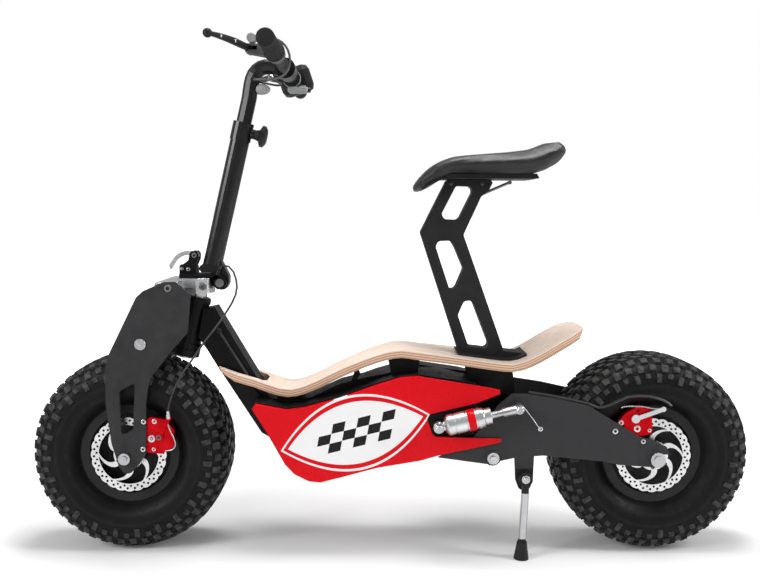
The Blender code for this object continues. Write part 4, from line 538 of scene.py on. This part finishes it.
def vinyl():
    """Black seat vinyl with a leather grain."""
    material, tree, shader, place = new_material("seat_vinyl", 0.4)
    cells = new_node(tree, "TexVoronoi", Vector=place, Scale=620)
    cells.feature = "DISTANCE_TO_EDGE"
    creases = ramp(tree, cells.outputs["Distance"], [(0.0, (0, 0, 0)), (0.18, (1, 1, 1))])
    mottle(tree, shader, place, 22, 4, (0.009, 0.009, 0.0095), (0.016, 0.016, 0.0165))
    uneven(tree, shader, noise_at(tree, place, 40, 3), (0.36, 0.5))
    bump(tree, shader, creases, 0.3, 0.25 * MM)
    return material


def panel_paint():
    """Glossy red with a white lens, a slanted chequer in it and two thin white lines round it."""
    material, tree, shader, place = new_material("panel_graphic", 0.12)
    x, y, z = axes(tree, place)
    middle = at(-66, 0, 49)
    half_length, half_height = 127 * MM, 57 * MM
    check_width, check_height = 23.5 * MM, 17 * MM
    line_gap, half_line, lens_rim = 10.5 * MM, 2.2 * MM, 6 * MM
    tilt, lean = math.radians(14), 0.45

    def times(a, b):
        return maths(tree, "MULTIPLY", a, b)

    def within(value, limit):
        return maths(tree, "LESS_THAN", maths(tree, "ABSOLUTE", value), limit)

    along = maths(tree, "SUBTRACT", x, middle.x)
    up = maths(tree, "SUBTRACT", z, middle.z)
    u = maths(tree, "ADD", times(along, math.cos(tilt)), times(up, math.sin(tilt)))
    v = maths(tree, "SUBTRACT", times(up, math.cos(tilt)), times(along, math.sin(tilt)))
    share = maths(tree, "DIVIDE", u, half_length)
    rise = maths(tree, "SUBTRACT", half_height, times(times(share, share), half_height))
    inset = maths(tree, "SUBTRACT", rise, maths(tree, "ABSOLUTE", v))
    lens = maths(tree, "GREATER_THAN", inset, 0.0)
    white = maths(tree, "MAXIMUM", lens, within(maths(tree, "ADD", inset, line_gap), half_line))
    slant = maths(tree, "SUBTRACT", u, times(v, lean))
    column = maths(tree, "FLOOR", maths(tree, "DIVIDE", slant, check_width))
    row = maths(tree, "FLOOR", maths(tree, "DIVIDE", maths(tree, "ADD", v, check_height / 2), check_height))
    odd = maths(tree, "FLOORED_MODULO", maths(tree, "ADD", column, row), 2.0)
    field = times(within(v, 1.5 * check_height), within(slant, 3 * check_width))
    checks = times(times(odd, field), maths(tree, "GREATER_THAN", inset, lens_rim))
    red = ramp(tree, noise_at(tree, place, 12, 3), [(0.3, (0.6, 0.0012, 0.006)), (0.7, (0.68, 0.002, 0.009))])
    base = mix(tree, white, red, (0.8, 0.8, 0.8))
    tree.links.new(mix(tree, checks, base, (0.012, 0.012, 0.013)), shader.inputs["Base Color"])
    uneven(tree, shader, noise_at(tree, place, 50, 3), (0.24, 0.34))
    bump(tree, shader, noise_at(tree, place, 140, 2), 0.03, 0.3 * MM)
    return material


WOOD = maple()
VINYL = vinyl()
PANEL = panel_paint()
CORE = winding()

DRESS = {
    "battery_pack": (WRAP, 0.8), "body_shell": (BLACK, 1.0), "clamp_knob": (PLASTIC, 0.6), "deck_board": (WOOD, 1.2),
    "fold_pin": (DULL, 0.4), "fork_crown_lower": (BLACK, 1.0),
    "fork_crown_upper": (SILVER, 1.4), "fork_plate_left": (POWDER, 0.9), "fork_plate_right": (POWDER, 0.9),
    "front_axle": (STEEL, 0.5), "front_bearing_left": (STEEL, 0.3), "front_bearing_right": (STEEL, 0.3),
    "front_caliper": (ANODISED, 0.9), "front_caliper_arm": (ANODISED, 0.5), "front_rim": (FRONT_RIM, 0.8),
    "handlebar": (SATIN, 0.6), "headset_cup_lower": (BLACK, 0.8), "headset_cup_upper": (BLACK, 0.8),
    "horn_button": (PLASTIC, 0.3), "horn_pod": (POD, 0.6), "ignition_pod": (PALE, 0.5), "latch_lever": (SILVER, 0.6),
    "lever_perch_left": (MID, 0.6), "lever_perch_right": (SATIN, 0.6), "main_frame": (BLACK, 0.9),
    "motor_controller": (SILVER, 0.5), "motor_cover": (REAR_RIM, 0.8), "motor_stator": (CORE, 0.5),
    "rear_cable_arm": (CABLE, 0.0), "rear_cable_frame": (HOSE, 0.0), "rear_caliper": (ANODISED, 0.9),
    "rear_caliper_arm": (SILVER, 0.5), "rear_rim": (REAR_RIM, 0.8), "seat_base": (PLASTIC, 1.0),
    "seat_post": (SATIN, 1.0), "seat_stay": (DULL, 0.4), "shock_shaft_left": (STEEL, 0.5),
    "shock_shaft_right": (STEEL, 0.5), "side_panel_left": (PANEL, 0.8), "side_panel_right": (PANEL, 0.8),
    "stand_leg": (STAND, 0.6), "steerer_tube": (STEEL, 0.4), "stem_lower_tube": (GLOSS, 0.8),
    "stem_upper_tube": (GLOSS, 0.6), "swing_arm": (ARM, 1.0), "swing_pivot_shaft": (STEEL, 0.6),
    "throttle_housing": (PLASTIC, 0.8),
}


def dress_nodes():
    """Gives each CAD node its material and soft edges."""
    for name, (finish, edge) in DRESS.items():
        obj = NODES[name]
        obj.data.materials.clear()
        obj.data.materials.append(finish)
        if edge:
            add_bevel(obj, edge * MM)


dress_nodes()


# Tyres
def crown_table():
    """Half of the tyre's outside from the crown to the bead, with the run along it, in metres."""
    outer = [(177.5, 0), (177.4, 20), (176.6, 38), (173, 50), (166, 60), (155, 67), (142, 70.2)]
    outer += [(128, 70.4), (114, 66.5), (103, 58), (97, 50.5), (94.3, 47.6)]
    line = smooth_line([Vector((radius, half)) * MM for radius, half in outer], 6)
    table = [(line[0], 0.0)]
    for before, place in zip(line, line[1:]):
        table.append((place, table[-1][1] + (place - before).length))
    return table


CROWN_LINE = crown_table()


def crown_point(across, height):
    """A point above the tyre's surface, where across runs over the crown and down the shoulders."""
    side = -1 if across < 0 else 1
    reach = abs(across)
    for (first, start), (second, end) in zip(CROWN_LINE, CROWN_LINE[1:]):
        if reach <= end or (second, end) == CROWN_LINE[-1]:
            base = first.lerp(second, (reach - start) / (end - start))
            along = (second - first).normalized()
            spot = base + Vector((along.y, -along.x)) * height
            return spot.x, side * spot.y


def add_lug(made, axle, inner, outer, start, end, height, lean=0.0, steps=2, columns=3):
    """A tread block between two places across the tyre and two angles round it."""
    base, top = [], []
    for column in range(columns + 1):
        t = column / columns
        across = inner + (outer - inner) * t
        cross = inner + (outer - inner) * (0.5 + (t - 0.5) * 0.9)
        low_row, high_row = [], []
        for step in range(steps + 1):
            share = step / steps
            turn = start + (end - start) * share + lean * t
            high_turn = start + (end - start) * (0.5 + (share - 0.5) * 0.82) + lean * t
            for row, angle, where, up in ((low_row, turn, across, -1.5 * MM), (high_row, high_turn, cross, height)):
                radius, y = crown_point(where, up)
                row.append(made.verts.new(axle + Vector((radius * math.cos(angle), y, radius * math.sin(angle)))))
        base.append(low_row)
        top.append(high_row)
    for column in range(columns):
        for step in range(steps):
            first, second = top[column], top[column + 1]
            made.faces.new((first[step], second[step], second[step + 1], first[step + 1]))
    rim = [(column, 0) for column in range(columns)] + [(columns, step) for step in range(steps)]
    rim += [(column, steps) for column in range(columns, 0, -1)] + [(0, step) for step in range(steps, 0, -1)]
    bridge(made, [[grid[column][step] for column, step in rim] for grid in (base, top)])


def make_tyre(name, body, axle, pitches=46):
    """A knobby tyre: a carcass with side rings, crown blocks and long shoulder lugs."""
    made = bmesh.new()
    ridged = []
    for place, run in CROWN_LINE[::2]:
        share = max(1 - abs(place.x / MM - ridge) / 3 for ridge in (149, 134, 112))
        ridged.append((place.x, place.y + max(0.0, 0.7 * MM * share)))
    profile = [(radius, -width) for radius, width in reversed(ridged)] + ridged[1:]
    inner = [(82, 45.5), (82, 40), (160, 58), (168, 0), (160, -58), (82, -40), (82, -45.5)]
    inner = [(radius * MM, width * MM) for radius, width in inner]
    lathe(made, profile + inner + [profile[0]], Matrix.Translation(axle) @ ALONG_Y, 144)
    pitch = 2 * math.pi / pitches
    for index in range(pitches):
        # Each row of lugs: its run across the crown in mm, its share of a pitch, its height in mm and its lean
        far, farther = (70, 92) if index % 2 else (73, 84)
        rows = [(2.5, 17, 0, 0.6, 6.2, 0.03), (21, 36, 0.5, 1.1, 6, 0.03), (40.5, 55, 0, 0.62, 5.2, 0)]
        rows += [(59, far, 0.48, 1.08, 4, 0), (75, farther, 0, 0.52, 2.4, 0)]
        for side in (-1, 1):
            start = index * pitch + (pitch / 2 if side > 0 else 0)
            for inside, outside, first, last, height, lean in rows:
                ends = side * inside * MM, side * outside * MM, start + pitch * first, start + pitch * last
                add_lug(made, axle, *ends, height * MM, side * lean)
    bmesh.ops.remove_doubles(made, verts=made.verts, dist=1e-6)
    put(name, made, body, RUBBER, 35, [name.replace("_tread", "")])


make_tyre("front_tyre_tread", "front_wheel", FRONT_AXLE)
make_tyre("rear_tyre_tread", "rear_wheel", REAR_AXLE)


# Brake discs
def make_disc(name, body, axle, node, finish):
    """A floating disc: scalloped edge, two rows of holes and curved arms."""
    outer, inner, sweep = 55.5, 28, 0.62
    arms, holes, steps = 6, 30, 288

    def polar(radius, turn):
        return radius * MM * math.cos(turn), radius * MM * math.sin(turn)

    turns = [2 * math.pi * step / steps for step in range(steps)]
    edge = [polar(67.6 + 2.6 * abs(math.cos(turn * 12)) ** 0.6, turn) for turn in turns]
    lines = [edge, circle(0, 0, 14 * MM, 32)]
    share = 2 * math.pi / arms
    for index in range(arms):
        start = index * share
        window = [polar(outer, start + share * (0.04 + 0.9 * step / 12)) for step in range(13)]
        falling, rising = [], []
        for step in range(1, 9):
            t = step / 9
            radius, curl = outer - (outer - inner) * t, sweep * math.sin(t * math.pi / 2)
            falling.append(polar(radius, start + share * (0.94 - 0.1 * t) + curl))
            rising.append(polar(radius, start + share * (0.04 + 0.16 * t) + curl))
        window += falling
        window += [polar(inner, start + sweep + share * (0.84 - 0.64 * step / 4)) for step in range(5)]
        lines.append(window + rising[::-1])
    for index in range(holes):
        for radius, hole, offset in ((64.4, 2.3, 0.25), (59.6, 2.1, 0.75)):
            lines.append(circle(*polar(radius, 2 * math.pi * (index + offset) / holes), hole * MM, 12))
    mesh = outline_mesh(name, lines, 2 * MM, Matrix.Translation(axle + Vector((0, -59.5 * MM, 0))) @ UPRIGHT)
    put(name, mesh, body, finish, 30, [node])
    made = bmesh.new()
    for index in range(arms):
        x, z = polar(22, share * (index + 0.5))
        bolt(made, axle + Vector((x, -60.4 * MM, z)), LEFT, 4 * MM, 2.6 * MM, 32)
    put(name + "_bolts", made, body, DULL, 30, ())


make_disc("front_disc_drilled", "front_wheel", FRONT_AXLE, "front_disc", FRONT_DISC)
make_disc("rear_disc_drilled", "rear_wheel", REAR_AXLE, "rear_disc", REAR_DISC)


# Seat cushion
def vertex_rows(mesh, word):
    """The places or the normals of a mesh's vertices."""
    values = np.empty(len(mesh.vertices) * 3, np.float32)
    mesh.vertices.foreach_get(word, values)
    return values.reshape(-1, 3)


def make_cushion():
    """The upholstered seat, puffed by a short cloth simulation under its cover."""
    obj = linked("seat_upholstery", NODES["seat_cushion"].data.copy())
    remesh = obj.modifiers.new("remesh", "REMESH")
    remesh.mode = "VOXEL"
    remesh.voxel_size = 4 * MM
    shrink = obj.modifiers.new("shrink", "DISPLACE")
    shrink.strength = -1.2 * MM
    shrink.mid_level = 0.0
    mesh = evaluated(obj)
    obj.modifiers.clear()
    obj.data = mesh
    before = vertex_rows(mesh, "co")
    pinned = obj.vertex_groups.new(name="pinned")
    low = before[:, 2].min()
    pinned.add([i for i, spot in enumerate(before) if spot[2] < low + 4 * MM], 1.0, "REPLACE")
    cloth = obj.modifiers.new("cloth", "CLOTH")
    cloth.settings.use_pressure = True
    cloth.settings.uniform_pressure_force = 4
    cloth.settings.tension_stiffness = 30
    cloth.settings.compression_stiffness = 30
    cloth.settings.bending_stiffness = 4
    cloth.settings.vertex_group_mass = "pinned"
    cloth.settings.effector_weights.gravity = 0
    cloth.collision_settings.use_collision = False
    frames = 14
    for step in range(frames):
        SCENE.frame_set(step + 1)
    puffed = evaluated(obj)
    obj.modifiers.clear()
    move = vertex_rows(puffed, "co") - before
    length = np.linalg.norm(move, axis=1, keepdims=True)
    most = 3 * MM
    before = before + move * np.minimum(1, most / np.maximum(length, 1e-9))
    SCENE.frame_set(1)
    # A lower lip at the nose, a raised tail and a longer rear half
    lip_end, lip_run, lip_drop = 0.092, 0.04, 7 * MM
    tail_start, tail_run, tail_rise, stretch = 0.255, 0.05, 4.5 * MM, 9 * MM
    along = before[:, 0].copy()
    middle = (along.min() + along.max()) / 2
    under = np.clip(0.2 - vertex_rows(mesh, "normal")[:, 2], 0, 1)
    lip = np.clip((lip_end - along) / lip_run, 0, 1)
    tail = np.clip((along - tail_start) / tail_run, 0, 1)
    before[:, 2] += tail * tail_rise - under * lip * (3 - 2 * lip) * lip * lip_drop
    before[:, 0] += np.clip((along - middle) / (along.max() - middle), 0, 1) * stretch
    mesh.vertices.foreach_set("co", before.reshape(-1))
    smooth = obj.modifiers.new("smooth", "SMOOTH")
    smooth.iterations = 3
    mesh = evaluated(obj)
    obj.modifiers.clear()
    obj.data = mesh
    mesh.materials.clear()
    mesh.materials.append(VINYL)
    mesh.polygons.foreach_set("use_smooth", [True] * len(mesh.polygons))
    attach(obj, "frame")
    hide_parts("seat_cushion")


make_cushion()


# Grips, levers and what sits on the bar
def make_grip(name, body, node, side, inner):
    """A ribbed rubber grip with a flange and a closed end."""
    profile = [(0, 0), (11.4, -0.5), (17.4, 0), (17.5, 2.4), (15, 4.2), (14.1, 6)]
    place = 8.0
    while place < 108:
        profile += [(14.0, place), (14.6, place + 0.6), (14.6, place + 2.4), (14.0, place + 3.0)]
        place += 4.2
    profile += [(14.5, 112), (14.6, 119), (13.8, 121), (12, 122), (6, 122), (0, 121.6)]
    turned(name, profile, at(-197, side * inner, 712), side * RIGHT, body, GRIP, 40, [node])


make_grip("grip_left_ribbed", "riser", "grip_left", -1, 194.3)
make_grip("throttle_grip_ribbed", "throttle", "throttle_grip", 1, 194.3)


def make_lever(name, body, node, side, middle, length):
    """A cast brake lever: an eye, a thin root, a tall tapering blade and a round end."""
    splay = math.radians(26)
    out = Vector((-math.sin(splay), side * math.cos(splay), 0))
    pivot = at(-237, side * middle, 719)
    rise = Vector((0, 0, 5 * MM))
    bow = Vector((3 * MM, 0, 0))
    reach = length * MM
    points = [
        pivot + 6 * MM * out, pivot + 17 * MM * out + 0.2 * rise, pivot + 0.5 * reach * out + 0.7 * rise + bow,
        pivot + 0.8 * reach * out + rise + 0.7 * bow, pivot + reach * out + rise,
    ]
    line = smooth_line(points, 8)
    shares = (0, 0.1, 0.22, 0.45, 0.75, 1.0)
    half_heights, half_widths = (2.4, 2.5, 5.6, 6.0, 4.4, 3.2), (3, 3, 4, 3.8, 3.2, 2.8)
    made = bmesh.new()
    rings = []
    up = Vector((0, 0, 1))
    for index, spot in enumerate(line):
        t = index / (len(line) - 1)
        tall, thick = (float(np.interp(t, shares, sizes)) for sizes in (half_heights, half_widths))
        way = (line[min(index + 1, len(line) - 1)] - line[max(index - 1, 0)]).normalized()
        across = way.cross(up).normalized()
        ring = []
        for a, b in circle(0, 0, 1, 16):
            round_a = math.copysign(abs(a) ** 0.7, a) * thick * MM
            round_b = math.copysign(abs(b) ** 0.7, b) * tall * MM
            ring.append(made.verts.new(spot + across * round_a + up * round_b))
        rings.append(ring)
    bridge(made, rings)
    made.faces.new(rings[0][::-1])
    made.faces.new(rings[-1])
    eye = [(0, -3), (7.4, -3), (8, -2.4), (8, 2.4), (7.4, 3), (0, 3)]
    upright = Matrix.Identity(4)
    lathe_mm(made, eye, pivot, upright, 32)
    ball_turns = [math.radians(degrees) for degrees in range(-72, 73, 12)]
    ball = [(0, -7.4)] + [(7.4 * math.cos(turn), 7.4 * math.sin(turn)) for turn in ball_turns] + [(0, 7.4)]
    lathe_mm(made, ball, line[-1], upright, 24)
    put(name, made, body, SATIN, 40, [node])
    made = bmesh.new()
    back = Vector((math.cos(splay), side * math.sin(splay), 0))
    for share in (0.48, 0.72):
        spot = line[round(share * (len(line) - 1))]
        bolt(made, spot + back * 3.4 * MM, back, 2.4 * MM, 1.2 * MM, 32)
    put(name + "_studs", made, body, SILVER, 30, ())


make_lever("brake_lever_left_blade", "lever_left", "brake_lever_left", -1, 176, 119)
make_lever("brake_lever_right_blade", "lever_right", "brake_lever_right", 1, 138, 150)


def make_hinge():
    """The hinge block on the crown: its plate, ears and a slim tower with two cheeks for the latch."""
    made = bmesh.new()
    side_plate(made, [(-397, 326.2), (-397, 333), (-396, 333.8), (-338, 333.8), (-337, 333), (-337, 326.2)], 0, 46)
    ear = [
        (-345, 330.8), (-345, 333.8), (-330, 335.8), (-318, 331), (-311, 325), (-308.6, 317), (-311, 310),
        (-318, 306), (-326, 304.6), (-333, 312), (-333, 330.8),
    ]
    for side in (-1, 1):
        side_plate(made, ear, side * 16.8, 11)
    side_plate(made, [(-398, 332), (-398, 348), (-396, 350.5), (-372, 350.5), (-367, 348), (-366, 332)], 0, 28)
    cheek = [
        (-390, 349), (-389, 353), (-381, 359), (-379, 371), (-375, 376), (-366, 376), (-362.4, 371),
        (-362.6, 361), (-368, 349),
    ]
    for side in (-1, 1):
        side_plate(made, cheek, side * 11, 5.6)
    piece = put("hinge_block", made, "steering", BLACK, 30, ["hinge_base"])
    add_bevel(piece, 0.7 * MM)


make_hinge()


def make_bolts(name, body, finish, items):
    """One piece of hardware from several heads: place, direction, radius, height, sides, washer."""
    made = bmesh.new()
    for place, direction, radius, height, sides, washer in items:
        bolt(made, at(*place), direction, radius * MM, height * MM, sides, washer * MM)
    put(name, made, body, finish, 30, ())


def make_shock(word, side, body):
    """A shock's can with its front eye, a red band, and the nuts at both ends."""
    front = at(85, side * 106, 64)
    rear = at(229, side * 106, 98)
    way = (rear - front).normalized()
    can = [
        (7.2, 96.5), (14.2, 96.5), (15, 95.6), (15, 84), (17.4, 82), (17.4, 77.6), (18.9, 77), (18.9, 70.4),
        (17.2, 70), (17.2, 68.6), (19, 68.2), (19, 51.8), (17.2, 51.4), (17.2, 50), (18.9, 49.4), (18.9, 30.6),
        (17.8, 30.2), (17.8, 28.4), (18.9, 28), (18.9, 17.6), (16.6, 14.4), (11, 11.2), (0, 11),
    ]
    bore = [(0, 36), (7.2, 36), (7.2, 96.5)]
    made = bmesh.new()
    for profile in (can, bore):
        lathe_mm(made, profile, front, facing(way), 48)
    bmesh.ops.remove_doubles(made, verts=made.verts, dist=1e-6)
    eye = [(4.7, -7), (9.2, -7), (10, -6.2), (10, 6.2), (9.2, 7), (4.7, 7), (4.7, -7)]
    lathe_mm(made, eye, front, ALONG_Y, 40)
    neck = [(8.4, 8.2), (8.6, 12), (10.6, 14), (0, 14), (0, 9.4)]
    lathe_mm(made, neck, front, facing(way), 32)
    put("shock_can_" + word, made, body, SILVER, 30, ["shock_body_" + word])
    band = [(18, 53), (19.4, 53), (19.6, 53.4), (19.6, 66.6), (19.4, 67), (18, 67), (18, 53)]
    turned("shock_band_" + word, band, front, way, body, RED, 48, ())
    place, out = (85, side * 117, 64), side * RIGHT
    make_bolts("shock_nut_" + word, "frame", STEEL, [(place, out, 7, 3.6, 6, 8.4)])
    place = (229, side * 115, 98)
    make_bolts("shock_rear_nut_" + word, "swing", STEEL, [(place, out, 6.4, 3.4, 6, 7.8)])


make_shock("left", -1, "shock_left")
make_shock("right", 1, "shock_right")


# Bolts and small hardware
def near(x, z, y, radius, height, sides=32, washer=0.0):
    """One head on the left, at a distance from the middle."""
    return [((x, -y, z), LEFT, radius, height, sides, washer)]


def both(x, z, y, radius, height, sides=32, washer=0.0):
    """The same head on the left and on the right."""
    return near(x, z, y, radius, height, sides, washer) + [((x, y, z), RIGHT, radius, height, sides, washer)]


make_bolts("fork_top_bolts", "steering", DULL, both(-404, 312, 84, 6.6, 1.8))
make_bolts("fork_bolts", "steering", SILVER, near(-452, 68, 84, 4.6, 2.6) + near(-454, 17, 84, 4.8, 2.6))
for word, side in (("left", -1), ("right", 1)):
    flat_head = [(0, 2.2), (2.6, 2.2), (3, 2.6), (9, 2.6), (10.4, 1.4), (10.6, -1), (0, -1)]
    turned("fork_stud_" + word, flat_head, at(-456, side * 84, 210), side * RIGHT, "steering", STEEL, 40, ())
make_bolts(
    "front_caliper_bolts", "steering", SILVER,
    near(-440, 35, 77.5, 7, 2.2) + near(-434, 67, 77.5, 4.6, 2.2) + near(-436, 15, 77.5, 3.8, 2),
)
make_bolts("front_pull_bolt", "front_caliper_lever", DULL, near(-425.5, 38, 81.8, 5, 2.2))
make_bolts(
    "arm_bolts", "swing", SILVER,
    both(409, 52, 84, 5.4, 2.6) + near(272, 56, 84, 4.6, 2.6) + near(461, 33, 84, 4.6, 2.2)
    + both(186, 2, 93.8, 5.4, 1.0),
)
make_bolts(
    "rear_caliper_bolts", "swing", SILVER,
    near(421, 66, 77.5, 5, 2.2) + near(451, 55, 77.5, 6.4, 2.2) + near(474, 52, 77.5, 3.6, 2),
)
make_bolts("crown_bolts", "steering", DULL, both(-350, 311, 33.4, 7, 1.6))
make_bolts("hinge_bolts", "steering", STEEL, both(-381, 342, 14, 3.6, 2) + both(-393, 343, 14, 3, 1.6))
make_bolts("latch_bolt", "steering", DULL, both(-370, 368, 13.8, 4.6, 1.6))
make_bolts("stand_bolt", "swing", STEEL, near(245, -35, 98, 5.6, 2.4, 6, 7.6))
make_bolts("seat_bolts", "frame", DULL, both(110, 503, 18, 3.4, 1.6) + both(168, 503, 18, 3.4, 1.6))


def strip(name, points, radius, body, finish):
    """A thin wire laid along the surface that it sits on."""
    wire(name, smooth_line([at(*p) for p in points], 4), radius, body, finish)


strip("crown_slit", [(-386, -33.6, 307), (-378, -33.9, 307), (-369, -33.9, 307)], 0.7, "steering", BLACK)
return_wire = [
    (-411, -79.5, 70), (-406, -80.5, 53), (-397, -80.5, 32), (-397, -80, 21), (-404, -79, 14), (-415, -78, 12),
]
spring_wire = [(233, -92.5, 101), (240, -90, 97), (256, -87.5, 77), (268, -86.5, 60), (272, -86, 56)]
inner_wire = [(496, -80, 92.5), (480, -80, 93), (458, -80, 97), (428, -80, 97), (421, -79, 94)]
strip("front_return_wire", return_wire, 1.2, "steering", STEEL)
strip("arm_spring_wire", spring_wire, 1.0, "swing", STEEL)
strip("rear_inner_wire", inner_wire, 1.3, "swing", STEEL)


def make_valve(name, body, axle, turn):
    """A wheel's valve stem, at an angle round the axle."""
    way = Vector((math.cos(turn), 0, math.sin(turn)))
    place = axle + way * 70 * MM + Vector((0, -20 * MM, 0))
    profile = [(0, 22), (4.4, 22), (4.4, 14), (3.2, 12), (2.8, 2), (3.2, 1.6), (3.2, -4), (0, -4.4)]
    turned(name, profile, place, way, body, DULL, 20, ())


# Brake cables
def make_cables():
    """The free cables with their boots, grommets and end fittings, and the lever's reservoir."""
    front = [
        (-325, -20.4, 332.5), (-322, -21, 342), (-314.5, -25, 349.7), (-302.5, -32, 348.6), (-292.3, -41, 339.2),
        (-286, -51, 326), (-283.1, -61, 313), (-284.1, -70, 299.9), (-289.8, -77, 285.7), (-298.2, -82, 271.3),
        (-308.1, -84.5, 255.7), (-321.7, -84, 237.5), (-335.7, -82, 219.9), (-350.1, -79.5, 200.9),
        (-364.7, -78, 179.7), (-378.4, -78.5, 160.4), (-390.3, -81, 139.6), (-399, -82.5, 120), (-404.5, -83.6, 103),
        (-407.5, -83, 90), (-408, -80.4, 77),
    ]
    tapered = [(0, -1), (4.2, -1), (4, 3), (2.9, 11), (2.4, 16), (0, 16)]
    stepped = [(0, -3), (4, -3), (4.2, 0), (4.2, 5), (3.2, 6), (3.2, 12), (0, 12)]
    leaving = at(*front[1]) - at(*front[0])
    boot_place, barrel_place = at(-325, -20.4, 333), at(-408, -80.6, 76)
    guide = turned("front_cable_boot", tapered, boot_place, leaving, "steering", PLASTIC, 20, ())
    barrel = turned("front_cable_barrel", stepped, barrel_place, (0, -0.2, 1), "steering", STEEL, 20, ())
    free_cable("front_brake_cable", front, 1.9, "steering", CABLE, 1)
    left = [
        (-240, -163, 716), (-240, -152, 716), (-238, -142, 720), (-229, -134, 732), (-214, -128, 743),
        (-199, -122, 744), (-187, -113, 736), (-181, -100, 722), (-183, -84, 706), (-192, -67, 695),
        (-206, -50, 690), (-223, -35, 690), (-240, -24, 691), (-254, -16, 692), (-259, -9, 692),
    ]
    free_cable("left_brake_line", left, 2.05, "riser", SHEATH, 2)
    right = [
        (-240, 125, 716), (-240, 114, 716), (-237, 102, 713), (-229, 88, 706), (-219, 73, 699), (-212, 58, 694),
        (-212, 43, 690), (-220, 31, 688), (-236, 22, 690), (-252, 15, 692), (-259, 9, 692),
    ]
    free_cable("right_brake_line", right, 2.05, "riser", CABLE, 2)
    for word, y, side in (("left", -164, 1), ("right", 126, -1)):
        profile = [(0, -2), (5.6, -2), (5.6, 3), (4.2, 4), (4.2, 9), (3, 10), (3, 14), (0, 14)]
        turned("lever_adjuster_" + word, profile, at(-240, y, 716), side * RIGHT, "riser", STEEL, 24, ())
        turned(
            "neck_grommet_" + word, [(0, 3), (4.4, 3), (5.4, 1.4), (5.4, -5), (0, -5)], at(-256, -side * 14, 692),
            -side * RIGHT, "riser", GRIP, 24, (),
        )
    turned(
        "lever_reservoir", [(0, 9), (6.8, 9), (7.8, 8), (7.8, -8), (6.8, -9), (0, -9)], at(-235, -182, 735), LEFT,
        "riser", PALE, 32, (),
    )
    turned(
        "frame_cable_grommet", [(0, 4), (4, 4), (5, 2.6), (5.4, 0), (5.4, -3), (0, -3)], at(-323, -27, 227.6),
        (0.1, -0.6, 0.8), "frame", GRIP, 24, (),
    )


make_cables()


def pod_highlight_strip(name, along):
    """A pale strip round the underside of the pod, at a place along the bar: a painted highlight on the housing."""
    radius, first, last = 17.2, -150, 40
    turns = [math.radians(first + (last - first) * step / 10) for step in range(11)]
    line = [(-197 + radius * math.cos(turn), along, 712 + radius * math.sin(turn)) for turn in turns]
    strip(name, line, 0.9, "riser", PALE)


# Two pale strips painted as curved highlights on the housing.
pod_highlight_strip("housing_highlight_upper", 105)
pod_highlight_strip("housing_highlight_lower", 111.5)
make_valve("front_valve", "front_wheel", FRONT_AXLE, math.radians(205))
make_valve("rear_valve", "rear_wheel", REAR_AXLE, math.radians(-35))


# Floor, backdrop and light
def seen_directly(tree):
    """One for rays of the camera and rays through clear parts, nought for the rest."""
    rays = new_node(tree, "LightPath").outputs
    return maths(tree, "MAXIMUM", rays["Is Camera Ray"], rays["Is Transmission Ray"])


def make_floor():
    """A pale floor that keeps the shadow near the object and turns plain white further out."""
    mesh = bpy.data.meshes.new("floor")
    made = bmesh.new()
    size = 60
    corners = [(-size, -size), (size, -size), (size, size), (-size, size)]
    made.faces.new([made.verts.new((x, y, -0.0004)) for x, y in corners])
    made.to_mesh(mesh)
    made.free()
    floor = linked("floor", mesh)
    material, tree, shader, place = new_material("pale_floor", 0.0)
    shader.inputs["Base Color"].default_value = (0.76, 0.76, 0.76, 1)
    shader.inputs["Roughness"].default_value = 0.9
    x, y, z = axes(tree, place)
    # The glow rises from near to far, in metres off the middle
    near_edge, far_edge, least = 0.9, 2.2, 0.05
    rise = span(tree, distance(tree, x, y), 0, 1, near_edge, far_edge)
    far = maths(tree, "MAXIMUM", maths(tree, "MINIMUM", rise, 1.0), 0.0)
    strength = maths(tree, "ADD", maths(tree, "MULTIPLY", far, 1 - least), least)
    glow = new_node(tree, "Emission", Strength=maths(tree, "MULTIPLY", strength, seen_directly(tree)))
    both_parts = new_node(tree, "AddShader")
    tree.links.new(shader.outputs[0], both_parts.inputs[0])
    tree.links.new(glow.outputs[0], both_parts.inputs[1])
    out = tree.nodes["Material Output"]
    tree.links.new(both_parts.outputs[0], out.inputs["Surface"])
    mesh.materials.append(material)


def make_world():
    """Plain soft light all round, white in the view and dimmer as light and in reflections."""
    shown, lit = 1.0, 0.42
    world = bpy.data.worlds.new("studio")
    SCENE.world = world
    world.use_nodes = True
    tree = world.node_tree
    tree.nodes.clear()
    strength = maths(tree, "ADD", maths(tree, "MULTIPLY", seen_directly(tree), shown - lit), lit)
    light = new_node(tree, "Background", Color=(1, 1, 1, 1), Strength=strength)
    new_node(tree, "OutputWorld", Surface=light.outputs[0])


def soft_lamp(name, place, target, size, power):
    """A rectangular lamp that points at a target."""
    lamp = bpy.data.lights.new(name, "AREA")
    lamp.shape = "RECTANGLE"
    lamp.size, lamp.size_y = size
    lamp.energy = power
    obj = linked(name, lamp)
    obj.location = place
    obj.rotation_euler = (Vector(target) - Vector(place)).to_track_quat("-Z", "Y").to_euler()


make_floor()
make_world()
soft_lamp("key", (-2.6, -1.7, 1.7), (0, 0, 0.35), (1.0, 1.2), 56)
soft_lamp("top", (0.1, 0.1, 2.9), (0, 0, 0.3), (1.6, 0.9), 72)
soft_lamp("rim", (2.4, -0.7, 1.6), (0.1, 0, 0.4), (0.6, 1.4), 40)

SCENE.view_settings.view_transform = "Standard"
